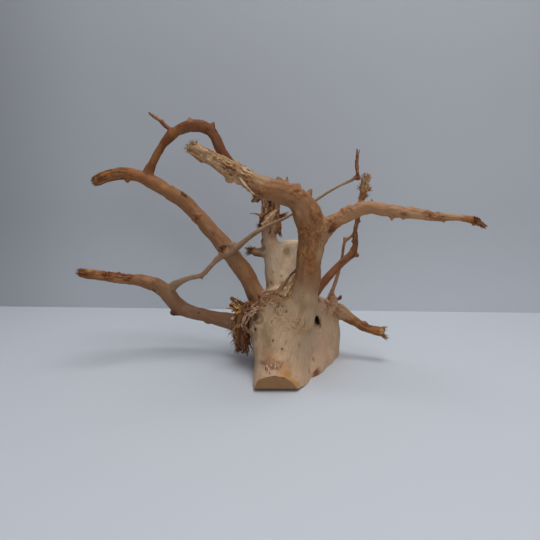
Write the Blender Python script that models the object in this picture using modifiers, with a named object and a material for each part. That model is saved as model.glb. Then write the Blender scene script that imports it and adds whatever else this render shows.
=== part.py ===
"""Spiderwood root: a branching root that stands on its sawn stump, with twigs and frayed ends.

The origin is on the flat sawn base, +Z is up and -Y is the side with the sawn front face.
Routes are in millimetres: each row is x, y, z and the wood's radius there.
"""

import math
import random

import bmesh
import bpy
from mathutils import Matrix, Vector
from mathutils.bvhtree import BVHTree

MM = 0.001

# The cuts that shape the stump
FLOOR_Z = 0.0
SAWN_FACE_Y = -55.0
SAWN_FACE_LEAN = math.radians(7)
LIP_START_Y = -37.0
LIP_RISE = math.radians(12)
CUTTER_SIZE = 400.0

# How finely the wood is fused, and how many triangles stay when it is thinned out
FUSE_VOXEL = 1.5
THICK_SMOOTH_ROUNDS = 9
THIN_SMOOTH_ROUNDS = 2
SMOOTH_PUSH = 0.55
SMOOTH_PULL = -0.57
LUMP_HEIGHT = 3.4
LUMP_SIZE = 19.0
WOOD_TRIANGLES = 4900

WOOD_COLOUR = (0.56, 0.37, 0.22, 1.0)
WOOD_ROUGHNESS = 0.75

# The stump's outline at rising heights, anticlockwise from its front left corner
STUMP_OUTLINES = [
    (-12, [(-58, -64), (-31, -80), (-3, -66), (11, -26), (30, 8), (56, 42),
           (56, 64), (26, 78), (-15, 71), (-47, 50), (-56, 12), (-55, -26)]),
    (0, [(-57, -62), (-31, -77), (-3, -62), (11, -24), (30, 10), (58, 42),
         (56, 64), (26, 78), (-15, 71), (-47, 50), (-55, 12), (-54, -26)]),
    (10, [(-53, -59), (-31, -69), (-8, -58), (10, -22), (29, 11), (59, 42),
          (56, 64), (26, 77), (-16, 70), (-48, 50), (-54, 12), (-53, -26)]),
    (19, [(-49, -48), (-31, -59), (-11, -50), (9, -20), (28, 12), (60, 43),
          (56, 64), (25, 76), (-18, 69), (-48, 50), (-54, 12), (-52, -24)]),
    (36, [(-47, -38), (-29, -49), (-8, -41), (10, -16), (27, 13), (60, 43),
          (55, 64), (24, 75), (-20, 68), (-48, 50), (-58, 12), (-53, -18)]),
    (52, [(-48, -28), (-25, -41), (-3, -34), (15, -13), (22, 13), (58, 42),
          (52, 63), (20, 72), (-22, 66), (-49, 48), (-64, 11), (-59, -10)]),
    (68, [(-44, -20), (-20, -34), (4, -30), (20, -11), (20, 13), (54, 41),
          (46, 60), (14, 68), (-26, 64), (-50, 44), (-61, 12), (-55, -8)]),
    (80, [(-38, -18), (-15, -30), (7, -28), (20, -10), (19, 9), (36, 36),
          (26, 52), (2, 62), (-30, 60), (-48, 40), (-55, 13), (-48, -6)]),
    (90, [(-29, -14), (-10, -23), (8, -23), (18, -9), (12, 7), (8, 26),
          (2, 42), (-12, 54), (-32, 52), (-42, 36), (-44, 16), (-38, 0)]),
    (97, [(-19, -8), (-8, -15), (5, -15), (11, -6), (4, 4), (-4, 18),
          (-8, 34), (-18, 44), (-28, 42), (-34, 32), (-33, 18), (-27, 4)]),
]

THICK_LIMBS = {
    "main_trunk": [
        (-9, -6, 48, 18),
        (-4, -8, 68, 22),
        (1, -8, 84, 19),
        (4, -8, 99, 15.8),
        (7, -9, 113, 14.8),
        (8, -11, 132, 14.2),
        (10, -13, 152, 15),
        (11, -15, 170, 16),
    ],
    "front_limb": [
        (11, -15, 168, 16),
        (5, -18, 185, 15),
        (-6, -22, 200, 13),
        (-27, -30, 209, 12),
        (-47, -38, 215, 11),
        (-62, -45, 223, 8.6),
        (-76, -51, 230, 8),
        (-87, -58, 237, 7),
        (-100, -65, 244, 6.3),
        (-108, -70, 248, 5.6),
    ],
    "right_limb": [
        (13, -14, 156, 12.5),
        (24, -15, 170, 10.5),
        (38, -17, 179, 8),
        (52, -20, 187, 7.6),
        (67, -23, 192, 7.6),
        (91, -29, 189, 6.3),
        (112, -36, 187, 5.6),
        (131, -43, 184, 5),
        (152, -51, 183, 4.3),
        (167, -57, 180, 3.5),
        (176, -60, 174, 2.2),
    ],
    "rear_trunk": [
        (-22, 40, 42, 14),
        (-22, 42, 62, 20),
        (-22, 45, 80, 20),
        (-23, 46, 94, 18),
        (-27, 47, 110, 15.5),
        (-29, 48, 127, 13.5),
        (-33, 49, 140, 11.8),
        (-36, 51, 153, 10.2),
        (-38, 52, 169, 9),
        (-38, 54, 186, 8.4),
        (-37, 56, 202, 8.5),
    ],
    "rear_trunk_strut": [
        (-9, 52, 145, 7.5),
        (-6, 48, 130, 9),
        (-10, 43, 114, 10.5),
        (-15, 38, 97, 13),
    ],
    "rear_trunk_slab": [
        (-31, 53, 207, 6.5),
        (-30, 51, 192, 7.2),
        (-30, 49, 177, 6.4),
        (-32, 49, 160, 6.5),
    ],
    "rear_fork": [
        (-28, 48, 128, 11.5),
        (-20, 51, 141, 8),
        (-9, 52, 144, 6.8),
        (4, 54, 145, 6.7),
        (17, 58, 148, 6),
    ],
    "arch": [
        (-35, 56, 194, 8.5),
        (-45, 60, 213, 7.6),
        (-61, 62, 226, 7),
        (-79, 63, 238, 7),
        (-89, 62, 249, 7),
        (-96, 61, 261, 6.6),
        (-102, 60, 275, 6),
        (-110, 59, 285, 6.7),
        (-125, 58, 289, 7),
        (-139, 56, 286, 6.7),
        (-152, 54, 278, 6),
        (-166, 52, 263, 5.2),
        (-176, 50, 246, 5),
        (-184, 48, 229, 6.5),
    ],
    "back_limb": [
        (-42, 34, 64, 16),
        (-51, 37, 81, 12.8),
        (-57, 38, 94, 11.5),
        (-73, 41, 120, 11),
        (-90, 44, 143, 10.7),
        (-105, 46, 160, 10),
        (-122, 47, 179, 9.3),
        (-143, 48, 200, 9.2),
        (-165, 48, 214, 8.6),
        (-187, 48, 225, 8),
        (-207, 46, 231, 8.2),
        (-226, 43, 229, 7.2),
        (-243, 40, 222, 6),
    ],
    "low_limb": [
        (-46, 32, 42, 18),
        (-64, 39, 43, 13),
        (-84, 43, 46, 11),
        (-100, 48, 49, 9.4),
        (-112, 51, 51, 8.5),
        (-126, 52, 54, 8.2),
        (-141, 51, 59, 9.2),
        (-154, 49, 68, 9.8),
        (-163, 46, 80, 10.2),
        (-174, 41, 93, 9.4),
        (-190, 36, 101, 7.8),
        (-210, 30, 105, 6.6),
        (-232, 23, 109, 6),
        (-252, 15, 115, 6.2),
        (-260, 12, 116, 4.8),
    ],
    "low_heel": [
        (-142, 51, 63, 9),
        (-153, 50, 60, 7.5),
        (-164, 49, 55, 3),
    ],
    "low_right_limb": [
        (28, 46, 54, 9),
        (41, 46, 59, 13),
        (52, 45, 60, 11),
        (60, 43, 56, 8.4),
        (69, 41, 50, 7),
        (78, 38, 45, 6.5),
        (88, 34, 41, 6.1),
        (99, 31, 39, 5.8),
        (107, 28, 38, 5.4),
    ],
    "back_buttress_left": [
        (-27, 55, 104, 7),
        (-31, 62, 78, 10),
        (-37, 66, 42, 11),
        (-43, 65, -14, 12),
    ],
    "back_buttress_middle": [
        (-6, 52, 92, 7),
        (-3, 66, 62, 10),
        (2, 74, 30, 12),
        (4, 77, -14, 13),
    ],
    "back_buttress_right": [
        (33, 48, 68, 7),
        (39, 58, 46, 11),
        (43, 66, 18, 12),
        (45, 68, -14, 12),
    ],
    "back_root_stump": [
        (14, 60, 44, 12),
        (17, 76, 43, 10),
        (18, 88, 46, 8),
    ],
    "shoulder_boss": [
        (28, 38, 50, 9),
        (36, 39, 63, 12),
        (43, 40, 72, 8.5),
        (46, 40, 78, 5.5),
    ],
}

THIN_WOOD = {
    "arch_twig": [
        (-150, 54, 277, 5.2),
        (-158, 55, 286, 3.2),
        (-166, 57, 293, 2.7),
        (-174, 59, 298, 2.4),
        (-183, 61, 304, 1.8),
    ],
    "cross_twig": [
        (-163, 44, 86, 7),
        (-155, 42, 95, 5.6),
        (-146, 39, 100, 4.4),
        (-134, 37, 105, 3.8),
        (-119, 35, 109, 3.9),
        (-106, 34, 122, 3.7),
        (-95, 34, 132, 4.1),
        (-85, 34, 137, 5.8),
        (-73, 32, 145, 4.3),
        (-60, 31, 156, 3.8),
        (-45, 30, 166, 3.6),
        (-26, 29, 175, 3),
        (-13, 28, 181, 2.6),
        (2, 26, 190, 2.4),
        (16, 25, 198, 2.6),
        (31, 25, 208, 2.4),
        (47, 25, 217, 2.4),
        (60, 25, 223, 2.6),
        (67, 24, 229, 3.2),
    ],
    "cross_twig_tip": [
        (66, 24, 224, 3.4),
        (66, 24, 234, 2.2),
        (65, 23, 243, 2),
        (67, 22, 257, 2),
    ],
    "rear_twig": [
        (8, 18, 78, 8),
        (22, 19, 94, 5.6),
        (35, 20, 110, 5.2),
        (45, 24, 120, 5.3),
        (55, 26, 129, 5),
        (63, 27, 136, 5.1),
        (67, 27, 146, 4.2),
        (67, 27, 155, 3.8),
        (66, 26, 165, 3.4),
        (68, 25, 177, 3.4),
        (68, 24, 189, 3.6),
        (71, 22, 199, 3.6),
        (73, 21, 211, 4.6),
        (74, 20, 223, 4.2),
    ],
    "thin_twig": [
        (36, 38, 66, 6.5),
        (40, 39, 79, 4),
        (44, 40, 91, 3.2),
        (48, 40, 104, 3),
        (52, 39, 121, 2.7),
        (54, 37, 136, 2.6),
        (56, 35, 150, 2.8),
        (62, 34, 156, 2.4),
        (66, 33, 162, 2.2),
        (69, 32, 169, 1.7),
    ],
    "crotch_twig": [
        (-27, -1, 90, 3.4),
        (-24, 0, 98, 2.9),
        (-18, 2, 106, 2.5),
        (-11, 3, 115, 2.3),
        (-4, 1, 123, 2.1),
    ],
    "crotch_bark": [
        (-14, -10, 92, 5),
        (-12, -5, 101, 3.4),
        (-9, -3, 110, 2),
    ],
    "front_knob": [
        (-44, -34, 208, 7),
        (-49, -31, 203, 5),
        (-49, -30, 198, 2.8),
    ],
    "front_knob_blade": [
        (-49, -34, 203, 2),
        (-56, -38, 211, 2),
        (-66, -42, 222, 2.6),
    ],
    "left_splinter": [
        (-40, 53, 174, 3),
        (-52, 50, 183, 2.2),
        (-62, 48, 184, 1.6),
    ],
    "right_claw": [
        (-27, 48, 184, 4),
        (-24, 45, 172, 3.6),
        (-23, 43, 164, 2.8),
        (-25, 42, 158, 1.8),
    ],
    "pale_splinter": [
        (-41, 42, 168, 3.6),
        (-37, 40, 177, 3.4),
        (-31, 40, 187, 2),
    ],
    "side_stub": [
        (-38, 47, 136, 7.5),
        (-52, 47, 136, 5.4),
        (-62, 46, 139, 3.6),
    ],
    "fibre_core": [
        (-58, 20, 76, 8),
        (-65, 18, 64, 10),
        (-69, 18, 50, 9.6),
        (-68, 19, 36, 8.8),
        (-68, 19, 22, 7.4),
    ],
    "fibre_tuft": [
        (-62, 19, 68, 4.5),
        (-72, 18, 78, 3.4),
        (-83, 16, 86, 2),
    ],
    "fibre_tuft_low": [
        (-64, 19, 68, 4.5),
        (-76, 18, 73, 2.8),
        (-85, 17, 76, 1.7),
    ],
}

# Roots that wind down over the frayed mass: seed, how many, height band, reach, radius
WOUND_ROOTS = (5, 17, (38, 80), (20, 42), (1.6, 2.4))

# Thin roots grown over the stump's upper left: each row is x, y, z near the wood and the radius
SURFACE_ROOTS = [
    [(-46, -12, 91, 1.5), (-52, -11, 85, 1.8), (-60, -7, 75, 1.9), (-68, 3, 60, 1.7), (-70, 4, 48, 1.3)],
    [(-30, -21, 95, 1.4), (-45, -18, 87, 1.7), (-57, -10, 73, 1.8), (-64, 0, 60, 1.6)],
    [(-38, -24, 76, 1.3), (-50, -18, 76, 1.7), (-61, -6, 69, 1.8), (-64, 0, 56, 1.7), (-57, -9, 45, 1.3)],
    [(-52, 4, 90, 1.4), (-42, 0, 96, 1.7), (-33, -8, 97, 1.7), (-25, -16, 93, 1.5), (-19, -24, 84, 1.2)],
    [(-34, -3, 99, 1.3), (-38, -13, 94, 1.6), (-43, -20, 84, 1.6), (-47, -24, 70, 1.2)],
    [(-48, -4, 95, 1.2), (-41, -9, 95, 1.4), (-33, -10, 97, 1.4), (-27, -6, 99, 1.2)],
    [(-50, -8, 88, 1.2), (-44, -14, 88, 1.4), (-39, -16, 93, 1.4), (-33, -14, 97, 1.1)],
    [(-58, -8, 66, 1.3), (-52, -18, 60, 1.5), (-46, -26, 62, 1.2)],
    [(-62, -2, 52, 1.2), (-56, -10, 54, 1.5), (-50, -20, 48, 1.1)],
    [(-66, 4, 72, 1.4), (-62, -3, 80, 1.5), (-54, -8, 84, 1.2)],
]
STRIP_LIFT = 0.45

# Torn grain that follows a limb: seed, limb, from and to as shares, how many, length, radius
TORN_GRAIN = [
    (91, "front_limb", 0.52, 0.97, 15, 27, 1.4),
    (92, "back_limb", 0.82, 0.98, 8, 20, 1.4),
    (93, "low_limb", 0.86, 0.98, 5, 16, 1.2),
    (94, "low_right_limb", 0.7, 0.97, 5, 14, 1.2),
    (95, "rear_trunk", 0.62, 0.95, 7, 24, 1.6),
]

# Knots and stubs of lost twigs: foot, way they point, length, foot radius, tip radius
STUBS = [
    ((-75, -44, 226), (-0.15, 0.1, -1), 9, 5.6, 3.6),
    ((-67, -41, 222), (0, 0.1, -1), 7, 4, 2.2),
    ((-45, -43, 212), (0, -1, -0.1), 6, 5.5, 3.2),
    ((-22, -24, 218), (-0.7, 0, 0.75), 9, 3.4, 1.6),
    ((-17, -22, 215), (0, 0, 1), 10, 3.2, 1.5),
    ((-6, -18, 209), (0.2, 0, 1), 9, 4.2, 2),
    ((5, -15, 202), (0.4, 0, 1), 11, 4.6, 2.2),
    ((-68, -48, 233), (0.5, 0, 1), 5, 4, 2),
    ((91, -30, 186), (0.2, 0, -1), 8, 3.2, 1.6),
    ((101, -33, 185), (0.4, 0, -1), 6, 2.8, 1.4),
    ((110, -36, 190), (0.1, -0.1, 1), 5, 2.8, 1.4),
    ((139, -46, 181), (0.2, 0, -1), 5, 2.6, 1.3),
    ((77, -14, 192), (-0.25, 0.4, 1), 13, 2.8, 1.4),
    ((58, -22, 193), (0.1, -0.3, 1), 5, 5, 3),
    ((-131, 57, 293), (-0.4, 0, 1), 6, 3.8, 1.6),
    ((-105, 60, 289), (0.5, 0, 1), 6, 3.6, 1.5),
    ((-165, 57, 293), (0.7, 0, 1), 6, 2.4, 1.3),
    ((-154, 46, 212), (0.2, -0.3, 1), 6, 4.4, 2.2),
    ((-118, 45, 168), (-0.8, -0.2, -0.6), 5, 5, 3),
    ((-207, 45, 224), (0.1, -0.2, -1), 5, 3.4, 1.8),
    ((-80, 33, 146), (-0.5, -0.6, 0.8), 4, 6, 4),
    ((-219, 26, 110), (0.2, 0, 1), 6, 2.8, 1.3),
    ((-184, 35, 96), (0, -0.3, -1), 6, 4, 2.2),
    ((-116, 50, 46), (-0.2, -0.3, -1), 4, 6, 4),
    ((-119, 35, 107), (0.1, 0, -1), 5, 3, 1.6),
    ((51, 42, 77), (0.8, 0, 0.5), 6, 3, 2),
    ((46, 38, 78), (-0.3, -0.6, 0.4), 4, 4.5, 3),
    ((55, 36, 152), (-0.2, 0, 1), 6, 2.4, 1.4),
    ((63, 33, 156), (0.3, -0.2, 1), 5, 2.2, 1.3),
    ((66, 27, 152), (-1, 0, -0.1), 6, 2.6, 1.4),
    ((66, 27, 137), (0.9, 0, -0.6), 7, 3.8, 2.4),
    ((69, 24, 175), (1, 0, 0), 5, 2, 1.1),
    ((84, 36, 45), (0.1, 0, 1), 6, 2.8, 1.5),
    ((26, 19, 98), (-0.4, -0.2, 1), 5, 3.4, 2),
    ((-36, 58, 112), (-0.4, 1, 0.3), 10, 6, 3.4),
    ((-28, 60, 144), (0.2, 1, 0.5), 8, 5, 2.6),
    ((-38, 72, 52), (-0.3, 1, 0.2), 8, 6, 3.6),
    ((-112, 56, 49), (0.2, 1, -0.1), 8, 4, 2.4),
    ((-132, 55, 196), (0, 1, 0.4), 6, 4, 2.2),
    ((12, 2, 150), (0.2, 1, 0.2), 7, 7, 4),
]

# Hollows worn into the wood: centre, half sizes, turn about the view axis
HOLLOWS = [
    ((20, 1, 59), (4.8, 17, 10), math.radians(-20)),
    ((25, 6, 50), (3, 12, 4.5), math.radians(10)),
    ((-21, -14, 97), (7.5, 9, 2.6), math.radians(-8)),
    ((-46, 40, 174), (1.8, 6, 12), math.radians(28)),
    ((-33, 42, 196), (1.2, 5, 9), math.radians(3)),
    ((-60, -8, 63), (4.2, 9, 5.5), math.radians(25)),
    ((-53, -17, 57), (2.6, 7, 3.4), math.radians(-30)),
    ((-56, -13, 79), (3.4, 8, 2.6), math.radians(40)),
    ((-33, -54, 25), (5.5, 4, 2), math.radians(-12)),
    ((-17, 72, 46), (5.5, 11, 13), math.radians(12)),
    ((24, 78, 16), (4, 9, 7), math.radians(-15)),
]

# Torn ends: seed, middle, way they point, how far out they stand, spread, how many, length, radius
BROKEN_ENDS = {
    "front_limb_end": (3, (-106, -69, 247), (-0.82, -0.5, 0.38), 4.2, 24, 9, 7, 1.5),
    "back_limb_end": (7, (-241, 40, 222), (-0.9, -0.15, -0.4), 4.4, 14, 8, 9, 1.7),
    "low_limb_end": (11, (-256, 14, 116), (-0.96, -0.25, 0.1), 3.6, 16, 6, 7, 1.5),
    "right_limb_end": (13, (172, -58, 177), (0.8, -0.25, -0.55), 1.8, 14, 4, 7, 1.2),
    "low_right_upper_prong": (17, (103, 28, 42), (0.95, -0.2, 0.15), 2.2, 20, 4, 7, 1.6),
    "low_right_lower_prong": (18, (103, 28, 35), (0.92, -0.2, -0.4), 2.2, 14, 4, 11, 1.7),
    "rear_trunk_top": (19, (-34, 54, 204), (0.1, 0.3, 1.0), 7.5, 16, 7, 12, 2.0),
    "rear_trunk_right": (23, (-20, 46, 180), (0.85, -0.3, 0.3), 3.0, 26, 5, 13, 1.5),
    "rear_trunk_barbs": (29, (-43, 48, 166), (-0.9, -0.2, 0.5), 5.0, 30, 4, 8, 1.3),
    "rear_claw_end": (31, (-24, 43, 164), (0.1, -0.1, -1.0), 2.0, 12, 3, 9, 1.4),
    "rear_fork_end": (37, (15, 58, 147), (0.95, 0.25, 0.2), 4.4, 20, 6, 9, 1.7),
    "side_stub_end": (47, (-59, 46, 138), (-1.0, 0.0, 0.1), 3.2, 46, 7, 10, 1.4),
    "back_root_end": (38, (18, 85, 45), (0.05, 1.0, 0.25), 6.0, 16, 7, 8, 2.0),
    "twig_rag_top": (41, (74, 20, 222), (0.08, -0.05, 1.0), 4.6, 20, 8, 10, 1.5),
    "twig_rag_side": (43, (75, 19, 212), (0.7, -0.3, 0.5), 3.6, 36, 7, 9, 1.5),
    "twig_rag_foot": (44, (73, 20, 203), (0.5, -0.4, 0.6), 3.0, 34, 4, 9, 1.3),
    "knob_splinters": (51, (-50, -32, 202), (-0.5, -0.2, -0.8), 3.0, 40, 4, 6, 1.3),
}

# Fibre frayed from a side: seed, from, to, way it stands out, spread, how many, length, radius
FRAYED_SIDES = {
    "left_upper_fibre": (61, (-62, 12, 78), (-72, 14, 62), (-0.75, -0.35, 0.6), 40, 8, 14, 1.5),
    "left_lower_fibre": (67, (-73, 12, 56), (-66, 12, 20), (-0.6, -0.5, -0.6), 55, 14, 13, 1.5),
    "crotch_fibre": (71, (-50, 6, 88), (-26, -8, 97), (-0.3, -0.7, 0.6), 55, 8, 10, 1.3),
    "crotch_bark_fibre": (79, (-16, -9, 97), (-8, -6, 108), (-0.4, -0.5, 0.7), 30, 4, 9, 1.3),
}
FIBRE_POINTS = 3
FIBRE_SINK = 6.0
FIBRE_TIP_SHARE = 0.4


def new_collection(name):
    collection = bpy.data.collections.new(name)
    bpy.context.scene.collection.children.link(collection)
    return collection


def add_object(name, mesh, collection):
    obj = bpy.data.objects.new(name, mesh)
    collection.objects.link(obj)
    return obj


def evaluated_mesh(obj):
    """The object as its modifiers leave it, as a plain mesh in world space."""
    bpy.context.view_layer.update()
    graph = bpy.context.evaluated_depsgraph_get()
    mesh = bpy.data.meshes.new_from_object(obj.evaluated_get(graph))
    mesh.transform(obj.matrix_world)
    return mesh


def apply_modifiers(obj):
    mesh = evaluated_mesh(obj)
    old = obj.data
    obj.modifiers.clear()
    obj.data = mesh
    bpy.data.meshes.remove(old)


def tube_mesh(route, round_steps, spline_type="BEZIER"):
    """A closed tube along the route, with its own radius at each point."""
    curve = bpy.data.curves.new("tube", "CURVE")
    curve.dimensions = "3D"
    curve.bevel_depth = MM
    curve.bevel_resolution = round_steps
    curve.use_fill_caps = True
    curve.resolution_u = 5
    spline = curve.splines.new(spline_type)
    points = spline.bezier_points if spline_type == "BEZIER" else spline.points
    points.add(len(route) - 1)
    for point, (x, y, z, radius) in zip(points, route):
        place = Vector((x, y, z)) * MM
        point.co = place if spline_type == "BEZIER" else (*place, 1.0)
        point.radius = radius
        if spline_type == "BEZIER":
            point.handle_left_type = point.handle_right_type = "AUTO"
    guide = add_object("tube", curve, bpy.context.scene.collection)
    mesh = evaluated_mesh(guide)
    bpy.data.objects.remove(guide)
    welded = bmesh.new()
    welded.from_mesh(mesh)
    bmesh.ops.remove_doubles(welded, verts=welded.verts, dist=0.01 * MM)
    bmesh.ops.recalc_face_normals(welded, faces=welded.faces)
    welded.to_mesh(mesh)
    welded.free()
    return mesh


def stump_mesh():
    """The stump as a skin over its outlines, rounded by subdivision."""
    shape = bmesh.new()
    rings = []
    for height, outline in STUMP_OUTLINES:
        rings.append([shape.verts.new(Vector((x, y, height)) * MM) for x, y in outline])
    for lower, upper in zip(rings, rings[1:]):
        for index in range(len(lower)):
            after = (index + 1) % len(lower)
            shape.faces.new((lower[index], lower[after], upper[after], upper[index]))
    shape.faces.new(list(reversed(rings[0])))
    shape.faces.new(rings[-1])
    bmesh.ops.recalc_face_normals(shape, faces=shape.faces)
    mesh = bpy.data.meshes.new("stump")
    shape.to_mesh(mesh)
    shape.free()
    stump = add_object("stump", mesh, bpy.context.scene.collection)
    rounding = stump.modifiers.new("rounding", "SUBSURF")
    rounding.levels = 2
    rounding.render_levels = 2
    mesh = evaluated_mesh(stump)
    bpy.data.objects.remove(stump)
    return mesh


def stub_route(foot, way, length, foot_radius, tip_radius):
    """A short tapered stub that starts inside the wood."""
    start = Vector(foot)
    along = Vector(way).normalized()
    middle = start + along * length * 0.5
    end = start + along * length
    return [
        (*start, foot_radius),
        (*middle, (foot_radius + tip_radius) * 0.5),
        (*end, tip_radius),
    ]


def wound_root_routes(seed, count, height_band, reach_band, radius_band):
    """Thin roots that wind down round the frayed mass at the stump's left."""
    draw = random.Random(seed)
    routes = []
    for turn in range(count):
        angle = math.radians(115 + turn * 190 / count + draw.uniform(-15, 15))
        top = draw.uniform(*height_band)
        reach = min(draw.uniform(*reach_band), top - 17)
        radius = draw.uniform(*radius_band)
        sway = draw.uniform(-1.1, 1.1)
        route = []
        for step in range(5):
            share = step / 4
            height = top - reach * share
            bearing = angle + sway * share + draw.uniform(-0.2, 0.2)
            out = 8.5 + 2 * math.sin(math.pi * share) + draw.uniform(-0.9, 0.9)
            core_x = -68 + 0.006 * (height - 46) ** 2
            x = core_x + out * math.cos(bearing)
            y = 18 + 1.25 * out * math.sin(bearing)
            route.append((x, y, height, radius))
        routes.append(route)
    return routes


def spread_direction(draw, way, spread_degrees):
    """The way, tipped by up to the spread in a random direction."""
    axis = Vector(way).normalized()
    side = axis.orthogonal().normalized()
    side.rotate(Matrix.Rotation(draw.uniform(0, 2 * math.pi), 3, axis))
    tip = math.radians(spread_degrees) * math.sqrt(draw.random())
    return (axis * math.cos(tip) + side * math.sin(tip)).normalized()


def fibre_route(draw, foot, way, length, radius):
    """A thin splinter that starts sunk in the wood and bends as it thins out."""
    bend = Vector([draw.uniform(-1, 1) for _ in range(3)])
    bend = (bend - way * bend.dot(way)) * length * 0.3
    start = foot - way * FIBRE_SINK
    route = []
    for step in range(FIBRE_POINTS):
        share = step / (FIBRE_POINTS - 1)
        place = start + way * (length + FIBRE_SINK) * share + bend * share * share
        route.append((*place, radius * (1 - (1 - FIBRE_TIP_SHARE) * share)))
    return route


def broken_end_routes(seed, middle, way, apart, spread, count, length, radius):
    """Splinters that stand round a torn end."""
    draw = random.Random(seed)
    axis = Vector(way).normalized()
    side = axis.orthogonal().normalized()
    routes = []
    for turn in range(count):
        out = side.copy()
        out.rotate(Matrix.Rotation(turn * 2.4 + draw.uniform(-0.3, 0.3), 3, axis))
        foot = Vector(middle) + out * apart * draw.uniform(0.3, 1.0)
        lean = spread_direction(draw, axis + out * 0.2, spread)
        reach = length * draw.uniform(0.35, 1.0)
        routes.append(fibre_route(draw, foot, lean, reach, radius * draw.uniform(0.8, 1.25)))
    return routes


def frayed_side_routes(seed, start, end, way, spread, count, length, radius):
    """Fibre that stands out along a line on the wood's side."""
    draw = random.Random(seed)
    routes = []
    for turn in range(count):
        share = (turn + draw.uniform(0.1, 0.9)) / count
        foot = Vector(start).lerp(Vector(end), share)
        lean = spread_direction(draw, way, spread)
        reach = length * draw.uniform(0.4, 1.0)
        routes.append(fibre_route(draw, foot, lean, reach, radius * draw.uniform(0.8, 1.2)))
    return routes


def on_surface(skin, place, lift):
    """The nearest point of the wood's skin, lifted off it."""
    found, normal, _, _ = skin.find_nearest(Vector(place) * MM)
    return found / MM + normal * lift


def surface_root_routes(skin):
    """Thin roots laid on the stump, with both ends sunk into it."""
    routes = []
    for root in SURFACE_ROOTS:
        route = []
        for index, (x, y, z, radius) in enumerate(root):
            ends_here = index in (0, len(root) - 1)
            lift = -radius if ends_here else radius * STRIP_LIFT
            route.append((*on_surface(skin, (x, y, z), lift), radius))
        routes.append(route)
    return routes


def place_on_route(route, share):
    """A point, the way the route runs there and its radius."""
    position = share * (len(route) - 1)
    index = min(int(position), len(route) - 2)
    here = Vector(route[index][:3])
    there = Vector(route[index + 1][:3])
    part_share = position - index
    radius = route[index][3] * (1 - part_share) + route[index + 1][3] * part_share
    return here.lerp(there, part_share), (there - here).normalized(), radius


def torn_grain_routes(skin, seed, limb, share_from, share_to, count, length, radius):
    """Strips of grain torn loose along a limb, each with its far end lifted a little."""
    draw = random.Random(seed)
    routes = []
    for turn in range(count):
        share = draw.uniform(share_from, share_to)
        middle, along, limb_radius = place_on_route(THICK_LIMBS[limb], share)
        out = along.orthogonal().normalized()
        out.rotate(Matrix.Rotation(turn * 2.4 + draw.uniform(-0.4, 0.4), 3, along))
        reach = length * draw.uniform(0.5, 1.0)
        slant = along.cross(out) * reach * draw.uniform(-0.12, 0.12)
        route = []
        for step, lift in enumerate((-1.0, 0.35, 0.4, draw.uniform(0.3, 1.6))):
            beside = middle + along * reach * (step / 3 - 0.5) + slant * (step / 3 - 0.5)
            place = on_surface(skin, beside + out * limb_radius, lift * radius)
            route.append((*place, radius * (1 - 0.15 * step) * draw.uniform(0.85, 1.15)))
        routes.append(route)
    return routes


def fuse(wood, meshes, smooth_rounds):
    """Flows the meshes and the wood so far into one body, and eases the creases between them."""
    joined = bmesh.new()
    joined.from_mesh(wood.data)
    for mesh in meshes:
        joined.from_mesh(mesh)
        bpy.data.meshes.remove(mesh)
    joined.to_mesh(wood.data)
    joined.free()
    flow = wood.modifiers.new("flow", "REMESH")
    flow.mode = "VOXEL"
    flow.voxel_size = FUSE_VOXEL * MM
    for turn in range(smooth_rounds):
        for factor in (SMOOTH_PUSH, SMOOTH_PULL):
            smooth = wood.modifiers.new("smooth", "SMOOTH")
            smooth.factor = factor
            smooth.iterations = 2
    apply_modifiers(wood)


def make_lumpy(wood):
    """Swells and sinks the limbs a little, as grown wood does."""
    lumps = bpy.data.textures.new("lumps", "CLOUDS")
    lumps.noise_scale = LUMP_SIZE * MM
    lumps.noise_depth = 1
    lumpy = wood.modifiers.new("lumps", "DISPLACE")
    lumpy.texture = lumps
    lumpy.texture_coords = "GLOBAL"
    lumpy.mid_level = 0.5
    lumpy.strength = LUMP_HEIGHT * MM
    apply_modifiers(wood)


def thin_out(wood):
    wood.data.calc_loop_triangles()
    thin = wood.modifiers.new("thin", "DECIMATE")
    thin.ratio = WOOD_TRIANGLES / len(wood.data.loop_triangles)
    thin.use_collapse_triangulate = True
    apply_modifiers(wood)


def keep_one_body(mesh):
    """Drops loose scraps and the walls of sealed pockets, and keeps the largest body."""
    body = bmesh.new()
    body.from_mesh(mesh)
    unseen = set(body.verts)
    largest = set()
    while unseen:
        start = unseen.pop()
        island = {start}
        border = [start]
        while border:
            vert = border.pop()
            for edge in vert.link_edges:
                other = edge.other_vert(vert)
                if other in unseen:
                    unseen.discard(other)
                    island.add(other)
                    border.append(other)
        if len(island) > len(largest):
            largest = island
    scraps = [vert for vert in body.verts if vert not in largest]
    bmesh.ops.delete(body, geom=scraps, context="VERTS")
    body.to_mesh(mesh)
    body.free()


def add_fibre(wood):
    """Joins every splinter and root fibre to the wood in one Boolean union."""
    fibres = new_collection("fibres")
    skin = BVHTree.FromPolygons(
        [vert.co.copy() for vert in wood.data.vertices],
        [tuple(face.vertices) for face in wood.data.polygons],
    )
    routes = surface_root_routes(skin)
    for grain in TORN_GRAIN:
        routes += torn_grain_routes(skin, *grain)
    for tuft in BROKEN_ENDS.values():
        routes += broken_end_routes(*tuft)
    for tuft in FRAYED_SIDES.values():
        routes += frayed_side_routes(*tuft)
    for route in routes:
        add_object("fibre", tube_mesh(route, round_steps=0, spline_type="POLY"), fibres)
    join = wood.modifiers.new("join_fibre", "BOOLEAN")
    join.operation = "UNION"
    join.operand_type = "COLLECTION"
    join.collection = fibres
    join.solver = "MANIFOLD"
    apply_modifiers(wood)
    for fibre in list(fibres.objects):
        bpy.data.objects.remove(fibre)
    bpy.data.collections.remove(fibres)


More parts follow.
